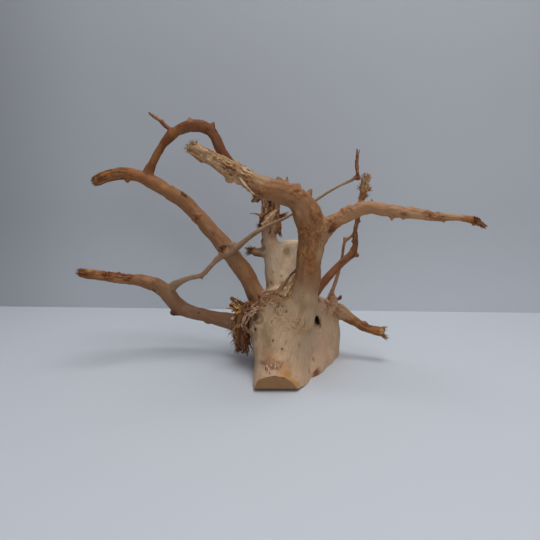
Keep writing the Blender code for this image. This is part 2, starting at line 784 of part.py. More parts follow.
def box_cutter(name, centre, turn_x, cutters):
    """A large block whose place and lean say where the wood is sawn away."""
    shape = bmesh.new()
    bmesh.ops.create_cube(shape, size=CUTTER_SIZE * MM)
    mesh = bpy.data.meshes.new(name)
    shape.to_mesh(mesh)
    shape.free()
    cutter = add_object(name, mesh, cutters)
    cutter.location = Vector(centre) * MM
    cutter.rotation_euler = (turn_x, 0, 0)
    return cutter


def hollow_cutter(name, centre, half_sizes, turn, cutters):
    """An egg-shaped cutter for a hollow worn into the wood."""
    shape = bmesh.new()
    bmesh.ops.create_icosphere(shape, subdivisions=2, radius=MM)
    bmesh.ops.transform(shape, matrix=Matrix.Diagonal((*half_sizes, 1)), verts=shape.verts)
    mesh = bpy.data.meshes.new(name)
    shape.to_mesh(mesh)
    shape.free()
    cutter = add_object(name, mesh, cutters)
    cutter.location = Vector(centre) * MM
    cutter.rotation_euler = (0, turn, 0)
    return cutter


def cut(wood, cutter):
    cutter.hide_render = True
    cutter.display_type = "WIRE"
    saw = wood.modifiers.new(cutter.name, "BOOLEAN")
    saw.operation = "DIFFERENCE"
    saw.object = cutter
    saw.solver = "EXACT"
    apply_modifiers(wood)


def hollow_out(wood, cutters):
    for index, (centre, half_sizes, turn) in enumerate(HOLLOWS):
        cut(wood, hollow_cutter(f"hollow_{index}", centre, half_sizes, turn, cutters))


def saw_flat(wood, cutters):
    """The sawn front face, its raised lip and the flat base."""
    half = CUTTER_SIZE / 2
    lean = SAWN_FACE_LEAN
    front = (0, SAWN_FACE_Y - half * math.cos(lean), -half * math.sin(lean))
    cut(wood, box_cutter("front_saw", front, lean, cutters))
    lip = (0, LIP_START_Y - half * math.sin(LIP_RISE), -half * math.cos(LIP_RISE))
    cut(wood, box_cutter("lip_saw", lip, -LIP_RISE, cutters))
    cut(wood, box_cutter("base_saw", (0, 0, FLOOR_Z - half), 0, cutters))


def wood_material():
    material = bpy.data.materials.new("bare_root_wood")
    material.use_nodes = True
    shader = material.node_tree.nodes["Principled BSDF"]
    shader.inputs["Base Color"].default_value = WOOD_COLOUR
    shader.inputs["Roughness"].default_value = WOOD_ROUGHNESS
    shader.inputs["Metallic"].default_value = 0.0
    material.diffuse_color = WOOD_COLOUR
    return material


def main():
    for obj in list(bpy.data.objects):
        bpy.data.objects.remove(obj)
    part = new_collection("spiderwood_root")
    cutters = new_collection("cutters")
    wood = add_object("spiderwood_root", bpy.data.meshes.new("spiderwood_root"), part)

    thick = [stump_mesh()]
    thick += [tube_mesh(route, round_steps=3) for route in THICK_LIMBS.values()]
    fuse(wood, thick, THICK_SMOOTH_ROUNDS)
    make_lumpy(wood)

    thin = [*THIN_WOOD.values(), *wound_root_routes(*WOUND_ROOTS)]
    thin += [stub_route(*stub) for stub in STUBS]
    fuse(wood, [tube_mesh(route, round_steps=2) for route in thin], THIN_SMOOTH_ROUNDS)
    keep_one_body(wood.data)
    thin_out(wood)

    add_fibre(wood)
    hollow_out(wood, cutters)
    saw_flat(wood, cutters)
    keep_one_body(wood.data)
    wood.data.materials.clear()
    wood.data.materials.append(wood_material())
    wood.data.shade_smooth()
    wood.data.set_sharp_from_angle(angle=math.radians(40))


main()
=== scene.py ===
"""Looks of a spiderwood root: its weathered wood, frayed fibre, rootlets, torn ends and a plain studio.

Routes and places are in millimetres in the part's frame: the origin on the sawn base, +Z up, -Y to the
front. Picture places are pixels of the 540 by 540 photograph, found on the wood by the camera's line of
sight.
"""

import math
import random
from collections import namedtuple
from functools import reduce

import bmesh
import bpy
import numpy as np
from mathutils import Matrix, Vector
from mathutils.bvhtree import BVHTree
from mathutils.kdtree import KDTree


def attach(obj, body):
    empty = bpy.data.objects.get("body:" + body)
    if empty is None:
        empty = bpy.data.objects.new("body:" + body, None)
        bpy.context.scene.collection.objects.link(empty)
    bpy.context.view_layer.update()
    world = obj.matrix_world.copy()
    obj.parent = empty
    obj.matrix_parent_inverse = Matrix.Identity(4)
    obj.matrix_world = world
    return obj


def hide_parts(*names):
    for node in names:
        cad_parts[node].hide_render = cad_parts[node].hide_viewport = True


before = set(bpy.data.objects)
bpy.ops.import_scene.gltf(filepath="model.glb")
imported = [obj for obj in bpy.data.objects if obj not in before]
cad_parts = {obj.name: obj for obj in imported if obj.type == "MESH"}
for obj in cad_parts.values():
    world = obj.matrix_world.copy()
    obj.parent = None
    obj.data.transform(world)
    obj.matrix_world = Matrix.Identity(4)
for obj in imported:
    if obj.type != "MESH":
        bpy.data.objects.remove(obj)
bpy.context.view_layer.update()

bl_info = {
    "name": "Spiderwood Root",
    "version": (1, 0, 0),
    "blender": (4, 5, 0),
    "location": "View3D > Sidebar > Root",
    "description": "Dresses a branching aquarium root with weathered wood and frayed fibre",
    "category": "Object",
}

MM = 0.001
NODE = "spiderwood_root"
BODY = "root"

# The camera and the photograph's frame
PICTURE = 540
FOCAL_PIXELS = 405.0
CAMERA_PLACE = (-0.035, -0.455, 0.2017)
CAMERA_PITCH = math.radians(10)
SENSOR = 36.0

# The saw cuts, as on the part, and how far the wood is drawn through them before they are made
SAWN_FACE_Y = -55.0
SAWN_FACE_LEAN = math.radians(7)
LIP_START_Y = -37.0
LIP_RISE = math.radians(12)
CUTTER_SIZE = 400.0
CUT_REACH = 8.0
CUT_PROUD = 3.0
FACE_TOP = 40.0
# A face is sawn where it looks the cut's way and lies within this gap of it, in mm
FLAT_FACING = 0.9995
FLAT_GAP = 0.02
# Each cut: a place on it in mm, how it is turned from upright or level, and the way the sawn face looks
SAW_CUTS = [
    ((0, SAWN_FACE_Y, 0), SAWN_FACE_LEAN, (0, -math.cos(SAWN_FACE_LEAN), -math.sin(SAWN_FACE_LEAN))),
    ((0, LIP_START_Y, 0), -LIP_RISE, (0, -math.sin(LIP_RISE), -math.cos(LIP_RISE))),
    ((0, 0, 0), 0.0, (0, 0, -1)),
]

# How the skin is laid on the limbs, in mm: how far each limb's grain and tone reach past its bark and how
# ragged they meet, over what share of a limb its tone turns and its grain frays, and how slim limbs are eased
ROUTE_STEP = 3.0
LAYERS = 3
NEAR_REACH = 30.0
GRAIN_REACH = 2.2
TONE_REACH = 4.0
BLEND_RANGE = (-10.0, 40.0)
BLEND_RAGGED = 7.0
BLEND_LUMPS = 8.0
BLEND_SEED = 700
TURN_SPAN = (-0.3, 0.1)
FRAY_SPAN = (-0.12, 0.12)
SMOOTH_PUSH = 0.55
SMOOTH_PULL = -0.565
SLIM_GIRTH = (1.5, 5.0)
SLIM_SMOOTHING = 0.3

# How a pixel that just misses the wood is sought: rings round it, and looks in each
SEEK_RINGS = 10
SEEK_TURNS = 8

# The studio: how far the wall turns from square, what the lamps face, and each lamp's place, size and colour
WALL_SLANT = -0.045
LAMP_AIM = (0, 0, 0.1)
LAMPS = {
    "key": ((0.15, -0.9, 1.15), 0.7, (1.0, 0.97, 0.93)),
    "ceiling": ((0.08, -0.08, 1.6), 1.0, (0.96, 0.98, 1.0)),
    "front": ((0.2, -0.95, 0.45), 0.3, (0.98, 0.98, 1.0)),
}

# Colours of the bare wood in daylight, as shown values from 0 to 255
TONES = {
    "flesh": (216, 178, 144),
    "pale": (180, 152, 120),
    "cream": (220, 192, 160),
    "bone": (212, 184, 148),
    "tan": (158, 112, 68),
    "fawn": (146, 101, 65),
    "brown": (138, 98, 70),
    "hazel": (172, 125, 86),
    "chestnut": (116, 62, 28),
    "orange": (158, 98, 50),
    "straw": (192, 150, 108),
    "golden": (190, 136, 76),
    "ochre": (152, 100, 54),
    "olive": (146, 118, 78),
    "pink": (206, 164, 136),
    "red": (140, 72, 50),
    "red_brown": (116, 62, 36),
    "umber": (78, 44, 24),
    "dark": (42, 24, 13),
    "grey": (157, 124, 95),
    "twig": (126, 75, 43),
    "sawn": (160, 118, 78),
    "sawn_ring": (132, 92, 58),
    "sawn_pale": (176, 134, 92),
}

Limb = namedtuple("Limb", "layer tone tip_tone torn_from route")

# The limbs that the grain follows: layer, tones at foot and tip, share where it is torn, route with radius.
# Limbs that meet are on different layers.
LIMBS = {
    "front_foot": Limb(0, "flesh", "pale", 9, [
        (-30, -64, 0, 26), (-22, -46, 28, 29), (-12, -26, 56, 29), (-2, -12, 84, 22)]),
    "middle_foot": Limb(1, "flesh", "pale", 9, [
        (18, 8, 0, 36), (12, 2, 30, 32), (6, -4, 60, 26), (3, -7, 84, 20)]),
    "rear_foot": Limb(1, "flesh", "pale", 9, [
        (-26, 34, 0, 36), (-26, 38, 40, 34), (-24, 42, 70, 26), (-22, 45, 92, 19)]),
    "shoulder": Limb(2, "flesh", "pale", 9, [
        (34, 50, 0, 30), (38, 46, 24, 26), (42, 42, 52, 17), (45, 40, 78, 7)]),
    "main_trunk": Limb(2, "fawn", "tan", 9, [
        (0, -8, 84, 20), (4, -8, 99, 16), (8, -10, 122, 14.4), (10, -13, 152, 15), (11, -15, 172, 16)]),
    "front_limb": Limb(0, "fawn", "straw", 0.66, [
        (11, -15, 168, 16), (5, -18, 185, 15), (-6, -22, 200, 13), (-27, -30, 209, 12),
        (-47, -38, 215, 11), (-62, -45, 223, 8.6), (-87, -58, 237, 7), (-110, -71, 249, 5.6)]),
    "right_limb": Limb(1, "hazel", "orange", 0.9, [
        (13, -14, 156, 12.5), (24, -15, 170, 10.5), (38, -17, 179, 8), (67, -23, 192, 7.6),
        (91, -29, 189, 6.3), (131, -43, 184, 5), (167, -57, 180, 3.5), (176, -60, 174, 2.2)]),
    "rear_trunk": Limb(0, "cream", "hazel", 0.72, [
        (-22, 45, 82, 20), (-23, 46, 94, 18), (-27, 47, 110, 15.5), (-33, 49, 140, 11.8),
        (-38, 52, 169, 9), (-38, 55, 206, 8.4)]),
    "rear_strut": Limb(1, "cream", "cream", 9, [
        (-9, 52, 145, 7.5), (-6, 48, 130, 9), (-10, 43, 114, 10.5), (-15, 38, 97, 13)]),
    "rear_slab": Limb(2, "hazel", "ochre", 0.3, [
        (-32, 49, 160, 6.5), (-30, 49, 177, 6.4), (-30, 51, 192, 7.2), (-31, 53, 209, 6.5)]),
    "rear_fork": Limb(2, "cream", "straw", 0.75, [
        (-28, 48, 128, 11.5), (-20, 51, 141, 8), (-9, 52, 144, 6.8), (4, 54, 145, 6.7), (19, 58, 148, 6)]),
    "arch": Limb(1, "chestnut", "chestnut", 9, [
        (-37, 56, 200, 8.5), (-45, 60, 213, 7.6), (-61, 62, 226, 7), (-79, 63, 238, 7),
        (-89, 62, 249, 7), (-102, 60, 275, 6), (-110, 59, 285, 6.7), (-125, 58, 289, 7),
        (-139, 56, 286, 6.7), (-152, 54, 278, 6), (-166, 52, 263, 5.2), (-184, 48, 229, 6.5)]),
    "back_limb": Limb(2, "fawn", "orange", 0.84, [
        (-42, 34, 64, 16), (-57, 38, 94, 11.5), (-73, 41, 120, 11), (-105, 46, 160, 10),
        (-122, 47, 179, 9.3), (-143, 48, 200, 9.2), (-187, 48, 225, 8), (-207, 46, 231, 8.2),
        (-226, 43, 229, 7.2), (-246, 39, 220, 6)]),
    "low_limb": Limb(0, "brown", "ochre", 0.88, [
        (-46, 32, 42, 18), (-64, 39, 43, 13), (-84, 43, 46, 11), (-112, 51, 51, 8.5),
        (-141, 51, 59, 9.2), (-163, 46, 80, 10.2), (-174, 41, 93, 9.4), (-190, 36, 101, 7.8),
        (-232, 23, 109, 6), (-262, 11, 116, 4.8)]),
    "low_heel": Limb(2, "brown", "umber", 0.6, [(-142, 51, 63, 9), (-153, 50, 60, 7.5), (-166, 49, 54, 3)]),
    "low_right_limb": Limb(0, "tan", "orange", 0.86, [
        (30, 46, 55, 9), (41, 46, 59, 13), (52, 45, 60, 11), (69, 41, 50, 7), (88, 34, 41, 6.1),
        (110, 27, 38, 5.4)]),
    "left_buttress": Limb(2, "tan", "cream", 9, [(-43, 65, 0, 12), (-37, 66, 42, 11), (-27, 55, 104, 7)]),
    "back_buttress": Limb(0, "pale", "cream", 9, [(4, 77, 0, 13), (2, 74, 30, 12), (-6, 52, 92, 7)]),
    "right_buttress": Limb(1, "pink", "pale", 9, [(45, 68, 0, 12), (43, 66, 18, 12), (33, 48, 68, 7)]),
    "back_root": Limb(2, "tan", "ochre", 0.7, [(14, 60, 44, 12), (17, 76, 43, 10), (18, 90, 46, 8)]),
    "arch_twig": Limb(2, "chestnut", "brown", 9, [
        (-150, 54, 277, 5.2), (-166, 57, 293, 2.7), (-184, 61, 305, 1.8)]),
    "cross_twig": Limb(1, "grey", "grey", 9, [
        (-163, 44, 86, 7), (-155, 42, 95, 5.6), (-134, 37, 105, 3.8), (-119, 35, 109, 3.9),
        (-95, 34, 132, 4.1), (-85, 34, 137, 5.8), (-60, 31, 156, 3.8), (-26, 29, 175, 3),
        (16, 25, 198, 2.6), (47, 25, 217, 2.4), (67, 24, 229, 3.2)]),
    "cross_twig_tip": Limb(0, "twig", "fawn", 9, [(66, 24, 224, 3.4), (65, 23, 243, 2), (67, 22, 258, 2)]),
    "rear_twig": Limb(2, "twig", "twig", 9, [
        (8, 18, 78, 8), (35, 20, 110, 5.2), (55, 26, 129, 5), (63, 27, 136, 5.1), (67, 27, 155, 3.8),
        (67, 25, 170, 3.4), (68, 24, 189, 3.6)]),
    "rear_rag": Limb(0, "twig", "straw", 0.2, [
        (68, 24, 184, 3.6), (70, 22, 199, 3.6), (73, 21, 211, 4.6), (74, 20, 225, 4.2)]),
    "thin_twig": Limb(0, "hazel", "hazel", 9, [
        (40, 39, 79, 4), (48, 40, 104, 3), (54, 37, 136, 2.6), (56, 35, 150, 2.8), (69, 32, 170, 1.7)]),
    "crotch_twig": Limb(1, "brown", "brown", 9, [(-27, -1, 90, 3.4), (-18, 2, 106, 2.5), (-4, 1, 124, 2.1)]),
    "crotch_bark": Limb(1, "golden", "golden", 0.2, [(-14, -10, 92, 5), (-9, -3, 111, 2)]),
    "right_claw": Limb(1, "red_brown", "red_brown", 0.3, [
        (-27, 48, 184, 4), (-23, 43, 164, 2.8), (-25, 42, 157, 1.8)]),
    "left_splinter": Limb(1, "umber", "brown", 0.2, [(-40, 53, 174, 3), (-63, 48, 184, 1.6)]),
    "pale_splinter": Limb(1, "bone", "bone", 0.2, [(-41, 42, 168, 3.6), (-31, 40, 188, 2)]),
    "side_stub": Limb(2, "brown", "umber", 0.3, [
        (-36, 47, 136, 7.5), (-52, 47, 136, 5.4), (-64, 46, 139, 3.6)]),
    "fibre_core": Limb(2, "red_brown", "umber", 0.0, [
        (-58, 20, 76, 8), (-69, 18, 50, 9.6), (-68, 19, 16, 7.4)]),
    "front_knob": Limb(1, "fawn", "brown", 0.5, [(-44, -34, 208, 7), (-50, -30, 196, 2.8)]),
    "knob_blade": Limb(2, "straw", "straw", 9, [(-49, -34, 203, 2), (-67, -42, 223, 2.6)]),
}

# Where the skin is fuller than the solid, or sunk into it: middle, reach and push in mm
BULGES = [
    ((19.5, 15, 59), 4.2, (3.0, 8.0, 0.0)),
    ((21.5, 12.5, 54), 4.2, (3.0, 6.0, 0.0)),
    ((23.0, 11.0, 50), 3.4, (2.0, 4.0, 0.0)),
    ((21, -2, 4), 24, (5.0, -3.0, 0.0)),
    ((36, 16, 4), 20, (2.0, -2.0, 0.0)),
]

# How smooth and even the wood of each limb is, from 0 to 1
CALM = {
    "front_foot": 1.0, "middle_foot": 1.0, "rear_foot": 1.0, "shoulder": 1.0, "left_buttress": 0.9,
    "back_buttress": 0.9, "right_buttress": 0.9, "rear_strut": 0.9, "rear_trunk": 0.85, "rear_fork": 0.8,
    "arch": 0.7, "back_limb": 0.6, "low_limb": 0.5, "main_trunk": 0.5, "cross_twig": 0.6, "right_limb": 0.4,
    "front_limb": 0.4, "rear_twig": 0.4,
}

# Marks on the wood that the photograph shows: picture place, reach in mm, how tall, tone, strength
MARKS = [
    # The stump
    ((315, 372), 6, 0.8, "red", 0.95), ((272, 368), 8, 0.75, "pink", 0.8),
    ((284, 371), 9.5, 1.2, "golden", 0.5), ((264, 363), 6, 0.5, "umber", 0.5),
    ((262, 379), 5, 0.6, "golden", 0.5), ((286, 379), 7, 0.8, "golden", 0.85),
    ((294, 386), 7.5, 0.9, "golden", 0.9), ((270, 356), 10, 0.8, "golden", 0.45),
    ((302, 303), 3.6, 3.6, "olive", 0.65), ((267, 335), 7.5, 2.2, "olive", 0.5),
    # The umber mark on the stump's left side is painted shade, where that side turns away from the light.
    ((268, 350), 6.5, 1.6, "grey", 0.5), ((254, 335), 6.5, 1.6, "umber", 0.4),
    ((256, 312), 9, 1.2, "olive", 0.5), ((304, 329), 8, 0.9, "golden", 0.35),
    ((322, 345), 15, 1.2, "pink", 0.55), ((322, 305), 8, 0.9, "pink", 0.6),
    ((299, 345), 1.5, 1.4, "umber", 0.5), ((298, 357), 1.3, 0.8, "chestnut", 0.6),
    ((313, 359), 1.7, 1.3, "umber", 0.6), ((309, 371), 1.9, 1.1, "chestnut", 0.5),
    # The dark and brown marks at the stump's cavity are painted shade in the hollow.
    ((286, 342), 1.6, 0.8, "chestnut", 0.45), ((316.5, 320), 3.9, 2.3, "dark", 0.95),
    ((320.5, 322), 2.2, 1.8, "brown", 0.8),
    # The trunk and where it forks
    ((305, 233), 5.5, 1.3, "orange", 0.75), ((308, 243), 4.5, 1, "red_brown", 0.5),
    ((304, 252), 5.5, 1.2, "golden", 0.6), ((311, 224), 4.5, 0.9, "brown", 0.7),
    ((318, 235), 3.6, 1.2, "red_brown", 0.5), ((309, 262), 5, 1.2, "orange", 0.6),
    ((317, 247), 3.2, 1.4, "ochre", 0.6), ((320, 252), 4, 4, "straw", 0.55),
    ((333, 228), 6, 0.8, "red_brown", 1), ((330, 231), 2.6, 1.2, "umber", 0.9),
    ((327, 221), 6.5, 0.6, "straw", 0.4),
    # The front limb; the hazel marks at its foot are a painted highlight down the limb's middle
    ((300, 190), 6, 0.8, "orange", 0.5), ((303, 209), 8, 2.2, "hazel", 0.45),
    ((290, 195), 9, 0.7, "hazel", 0.45), ((262, 180), 8, 0.5, "pale", 0.5),
    ((246, 172), 8, 0.6, "bone", 0.5), ((255, 190), 7, 0.6, "chestnut", 0.35),
    ((257, 201), 4.5, 0.8, "umber", 0.8),
    # The rear trunk's foot, under the frayed mass, and the crotch; the dark and umber marks in the hollow
    # under the frayed mass and the dark marks in the crotch's slit are painted shade
    ((271.5, 283), 1.5, 1.2, "dark", 0.9), ((256, 317), 4.6, 1.4, "umber", 0.85),
    ((248, 326), 3, 1, "dark", 0.8), ((256, 329), 2.4, 0.6, "dark", 0.8),
    ((262, 311), 3, 0.7, "umber", 0.6), ((281, 296.5), 3.4, 0.35, "dark", 0.9),
    ((287, 297), 3.4, 0.3, "dark", 0.8), ((277.5, 294), 2.2, 0.7, "dark", 0.85),
    ((288, 287), 5, 1.2, "golden", 0.7),
    # The rear trunk's torn top, and the twig beside the trunk; the dark marks in its slit and in the gap
    # between the torn slabs are painted shade
    ((260, 239), 3, 1.6, "red", 0.7), ((263, 222), 3, 2.6, "dark", 0.8), ((274, 206), 1.3, 4, "dark", 0.8),
    ((266, 205), 1, 4, "umber", 0.7), ((303, 225), 2, 1, "red_brown", 0.5),
    # The back limb
    ((184, 195), 3.4, 0.5, "dark", 0.8), ((197, 219), 2.4, 0.9, "umber", 0.9),
    ((190, 210), 3, 1, "red_brown", 0.4), ((223, 249), 4.6, 0.9, "red_brown", 0.95),
    ((163, 187), 5, 0.8, "golden", 0.4), ((100, 178), 4.5, 1, "umber", 0.6),
    ((120, 167), 7, 0.5, "umber", 0.6),
    # The low limb
    ((107, 277), 7, 0.7, "red_brown", 0.95), ((117, 274), 6, 0.5, "red_brown", 0.9),
    ((128, 276), 7, 0.6, "red_brown", 0.95), ((93, 273), 3, 1, "red_brown", 0.7),
    ((88, 268), 5, 0.8, "golden", 0.6), ((82, 273), 7, 0.8, "red_brown", 0.85),
    ((173, 314), 3.2, 0.8, "umber", 0.85), ((150, 279), 9, 0.6, "hazel", 0.6),
    ((118, 281), 8, 0.5, "hazel", 0.6), ((154, 291), 3, 1.3, "umber", 0.7),
    # The arching limb and its twig
    ((215, 130), 2, 0.9, "umber", 0.6), ((157, 154), 9, 1.6, "ochre", 0.55),
    ((176, 134), 8, 1, "ochre", 0.55), ((204, 127), 6, 0.6, "ochre", 0.45),
    ((222, 150), 7, 1.6, "red_brown", 0.5), ((195, 120), 8, 0.3, "red_brown", 0.5),
    ((150, 113), 2.6, 0.8, "umber", 0.7),
    # The right limb
    ((440, 218), 5, 0.7, "orange", 0.85), ((428, 213), 4.4, 0.5, "red_brown", 0.85),
    ((404, 214), 3.4, 0.6, "red_brown", 0.75), ((388, 211), 3, 0.8, "orange", 0.5),
    ((479, 219), 4.5, 0.9, "red_brown", 0.8), ((418, 216), 8, 0.6, "straw", 0.6),
    ((455, 217), 8, 0.6, "straw", 0.6),
    # The low right limb and the shoulder
    ((350, 323), 8, 0.7, "red_brown", 0.7), ((362, 328), 8, 0.8, "chestnut", 0.75),
    ((368, 324), 7, 0.4, "red_brown", 0.85), ((357, 319), 5, 0.5, "red_brown", 0.75),
    ((340, 297), 5, 1, "red_brown", 1), ((382, 331), 4, 1.2, "straw", 0.95),
    ((338, 312), 4, 0.8, "ochre", 0.4),
]
MARK_RAGGED = 0.45
MARK_EDGE = (1.2, 0.7)
MARK_SEED = 100
PATCH_SEED = 300

# Bark left in raised plates, and folded bark on the stump: picture place, reach in mm, how tall
BARK_PATCHES = [
    ((306, 232), 9, 1.3), ((306, 250), 10, 1.3), ((316, 240), 7, 1.6), ((310, 268), 8, 1.0),
    ((318, 215), 9, 0.9), ((335, 222), 8, 0.9), ((296, 192), 10, 0.7), ((262, 192), 9, 0.6),
    ((232, 170), 9, 0.7), ((272, 366), 10, 0.8), ((222, 249), 7, 0.9), ((196, 218), 7, 0.9),
    ((108, 275), 9, 0.6), ((125, 275), 7, 0.6), ((345, 205), 8, 0.7), ((480, 220), 8, 0.8),
    ((258, 312), 8, 1.2), ((338, 312), 8, 1.0), ((328, 304), 9, 0.8),
]
FOLD_PATCHES = [((296, 327), 13, 0.75), ((307, 333), 8, 0.9), ((283, 318), 9, 0.7), ((272, 305), 7, 0.6)]

# The heart of the rings on the sawn face
SAWN_HEART = (-26.0, -55.0, -16.0)

# Blotches strewn over every side: seed, how many on each metre of limb, reach in mm, tones
BLOTCH_SEED = 17
BLOTCHES_PER_METRE = 55
BLOTCH_REACH = (1.6, 6.0)
BLOTCH_TONES = ("umber", "red_brown", "ochre", "straw", "orange", "brown")


def linear(shown):
    """A shown colour, 0 to 255, as scene-linear values."""
    parts = np.array(shown, float) / 255.0
    return np.where(parts <= 0.04045, parts / 12.92, ((parts + 0.055) / 1.055) ** 2.4)


def new_object(name, mesh):
    obj = bpy.data.objects.new(name, mesh)
    bpy.context.scene.collection.objects.link(obj)
    return obj


def settle(obj):
    """Makes what the modifiers give the object's own mesh."""
    bpy.context.view_layer.update()
    graph = bpy.context.evaluated_depsgraph_get()
    mesh = bpy.data.meshes.new_from_object(obj.evaluated_get(graph))
    old = obj.data
    obj.modifiers.clear()
    obj.data = mesh
    if old.users == 0:
        bpy.data.meshes.remove(old)


def read_rows(items, field, width):
    """One field of every item as rows of numbers."""
    flat = np.empty(len(items) * width)
    items.foreach_get(field, flat)
    return flat.reshape(-1, width)


def coordinates(mesh):
    return read_rows(mesh.vertices, "co", 3)


def set_coordinates(mesh, places):
    mesh.vertices.foreach_set("co", places.ravel())
    mesh.update()


# The field that holds each kind of attribute, and how many numbers it has
FIELDS = {"FLOAT": ("value", 1), "FLOAT_VECTOR": ("vector", 3), "FLOAT_COLOR": ("color", 4)}


def store(mesh, name, kind, values):
    """Keeps one value, vector or colour for each point of the mesh."""
    attribute = mesh.attributes.new(name, kind, "POINT")
    attribute.data.foreach_set(FIELDS[kind][0], np.ascontiguousarray(values, np.float32).ravel())


def triangles(mesh):
    mesh.calc_loop_triangles()
    return len(mesh.loop_triangles)


def ramp(value, low, high):
    """Rises smoothly from 0 at low to 1 at high, or falls where high is less."""
    share = np.clip((value - low) / (high - low), 0, 1)
    return share * share * (3 - 2 * share)


def value_noise(points, size, seed):
    """Smooth noise from 0 to 1, with lumps of about that size."""
    scaled = points / size
    cell = np.floor(scaled).astype(np.int64)
    share = scaled - cell
    share = share * share * (3 - 2 * share)
    total = np.zeros(len(points))
    for corner in range(8):
        step = np.array([corner & 1, corner >> 1 & 1, corner >> 2 & 1])
        key = (cell + step) @ np.array([73856093, 19349663, 83492791]) + seed * 7919
        key = (key ^ (key >> 13)) * 1274126177
        key = (key ^ (key >> 16)) & 0xFFFFFF
        weight = np.prod(np.where(step == 1, share, 1 - share), axis=1)
        total += weight * key / 0xFFFFFF
    return total


def smooth_route(route):
    """The route as close points on one smooth curve, each x, y, z and radius in mm."""
    rows = np.array(route, float)
    padded = np.vstack([2 * rows[0] - rows[1], rows, 2 * rows[-1] - rows[-2]])
    curve = []
    for index in range(1, len(padded) - 2):
        before, here, there, after = padded[index - 1:index + 3]
        steps = max(1, round(float(np.linalg.norm((there - here)[:3])) / ROUTE_STEP))
        for share in np.arange(steps) / steps:
            bend = 2 * before - 5 * here + 4 * there - after
            turn = 3 * here - before - 3 * there + after
            curve.append(here + 0.5 * share * ((there - before) + share * (bend + share * turn)))
    curve.append(rows[-1])
    return np.array(curve)


def carried_frames(places):
    """The way along and two sideways directions at each place, carried on without twist."""
    along = np.gradient(places, axis=0)
    along /= np.linalg.norm(along, axis=1)[:, None]
    side = np.zeros_like(along)
    side[0] = np.array(Vector(along[0]).orthogonal().normalized())
    for index in range(1, len(places)):
        carried = side[index - 1] - along[index] * (side[index - 1] @ along[index])
        side[index] = carried / np.linalg.norm(carried)
    return along, side, np.cross(along, side)


class Run:
    """A limb's smooth route with what is needed to lay points on it."""

    def __init__(self, route):
        self.rows = smooth_route(route)
        self.places = self.rows[:, :3]
        self.radii = self.rows[:, 3]
        self.along, self.side, self.other = carried_frames(self.places)
        steps = np.linalg.norm(np.diff(self.places, axis=0), axis=1)
        self.lengths = np.concatenate([[0.0], np.cumsum(steps)])
        self.length = float(self.lengths[-1])

    def at(self, where, values):
        """The values, one for each place on the run, read between places."""
        low = np.clip(np.floor(where).astype(int), 0, len(self.places) - 2)
        share = where - low
        if values.ndim > 1:
            share = share[:, None]
        return values[low] * (1 - share) + values[low + 1] * share

    def lay(self, points):
        """Where on the run each point lies, as a place number with its share."""
        best = np.full(len(points), np.inf)
        where = np.zeros(len(points))
        for index in range(len(self.places) - 1):
            start = self.places[index]
            step = self.places[index + 1] - start
            share = np.clip((points - start) @ step / (step @ step), 0, 1)
            away = points - start - share[:, None] * step
            gap = np.einsum("ij,ij->i", away, away)
            closer = gap < best
            best[closer] = gap[closer]
            where[closer] = index + share[closer]
        return where

    def place(self, share, turn, out=0.0):
        """A place on the bark, by share of the length and turn round the limb."""
        where = np.array([np.interp(share * self.length, self.lengths, np.arange(len(self.lengths)))])
        side = self.at(where, self.side)[0] * math.cos(turn) + self.at(where, self.other)[0] * math.sin(turn)
        radius = self.at(where, self.radii)[0]
        middle = self.at(where, self.places)[0]
        return middle + side * (radius + out), side, self.at(where, self.along)[0], radius


RUNS = {name: Run(limb.route) for name, limb in LIMBS.items()}


def follow_limbs(points):
    """Lays the points on the limbs: grain places for each layer, their shares, and blended limb values."""
    count = len(points)
    weights = np.zeros((LAYERS, count))
    grain = np.zeros((LAYERS, count, 3))
    total = np.zeros(count)
    tone = np.zeros((count, 3))
    torn = np.zeros(count)
    girth = np.zeros(count)
    calm = np.zeros(count)
    along = np.zeros((count, 3))
    for index, (name, limb) in enumerate(LIMBS.items()):
        run = RUNS[name]
        reach = run.radii.max() + NEAR_REACH
        low = run.places.min(0) - reach
        high = run.places.max(0) + reach
        near = np.flatnonzero(np.all((points > low) & (points < high), axis=1))
        where = run.lay(points[near])
        offset = points[near] - run.at(where, run.places)
        radius = run.at(where, run.radii)
        past = np.clip(np.linalg.norm(offset, axis=1) - radius, *BLEND_RANGE)
        weight = np.exp(-past / GRAIN_REACH)
        ragged = (value_noise(points[near], BLEND_LUMPS, BLEND_SEED + index) - 0.5) * BLEND_RAGGED
        soft = np.exp(-(past + ragged) / TONE_REACH)
        length = run.at(where, run.lengths)
        share = length / run.length
        place = np.stack([
            length,
            np.einsum("ij,ij->i", offset, run.at(where, run.side)),
            np.einsum("ij,ij->i", offset, run.at(where, run.other)),
        ], axis=1)
        total[near] += soft
        gone = share - limb.torn_from
        turned = (share if limb.torn_from > 1 else ramp(gone, *TURN_SPAN))[:, None]
        mixed = linear(TONES[limb.tone]) * (1 - turned) + linear(TONES[limb.tip_tone]) * turned
        tone[near] += mixed * soft[:, None]
        frayed = ramp(gone, *FRAY_SPAN)
        torn[near] += frayed * soft
        calm[near] += CALM.get(name, 0.0) * (1 - frayed) * soft
        girth[near] += radius * soft
        way = run.at(where, run.along)
        flip = np.sign(np.einsum("ij,ij->i", way, along[near]) + 1e-9)
        along[near] += way * (flip * weight)[:, None]
        ahead = weight > weights[limb.layer][near]
        weights[limb.layer][near[ahead]] = weight[ahead]
        grain[limb.layer][near[ahead]] = place[ahead]
    weights /= weights.sum(0)
    along /= np.linalg.norm(along, axis=1)[:, None]
    return {
        "grain": grain, "shares": weights, "tone": tone / total[:, None],
        "torn": torn / total, "calm": calm / total, "girth": girth / total, "along": along,
    }


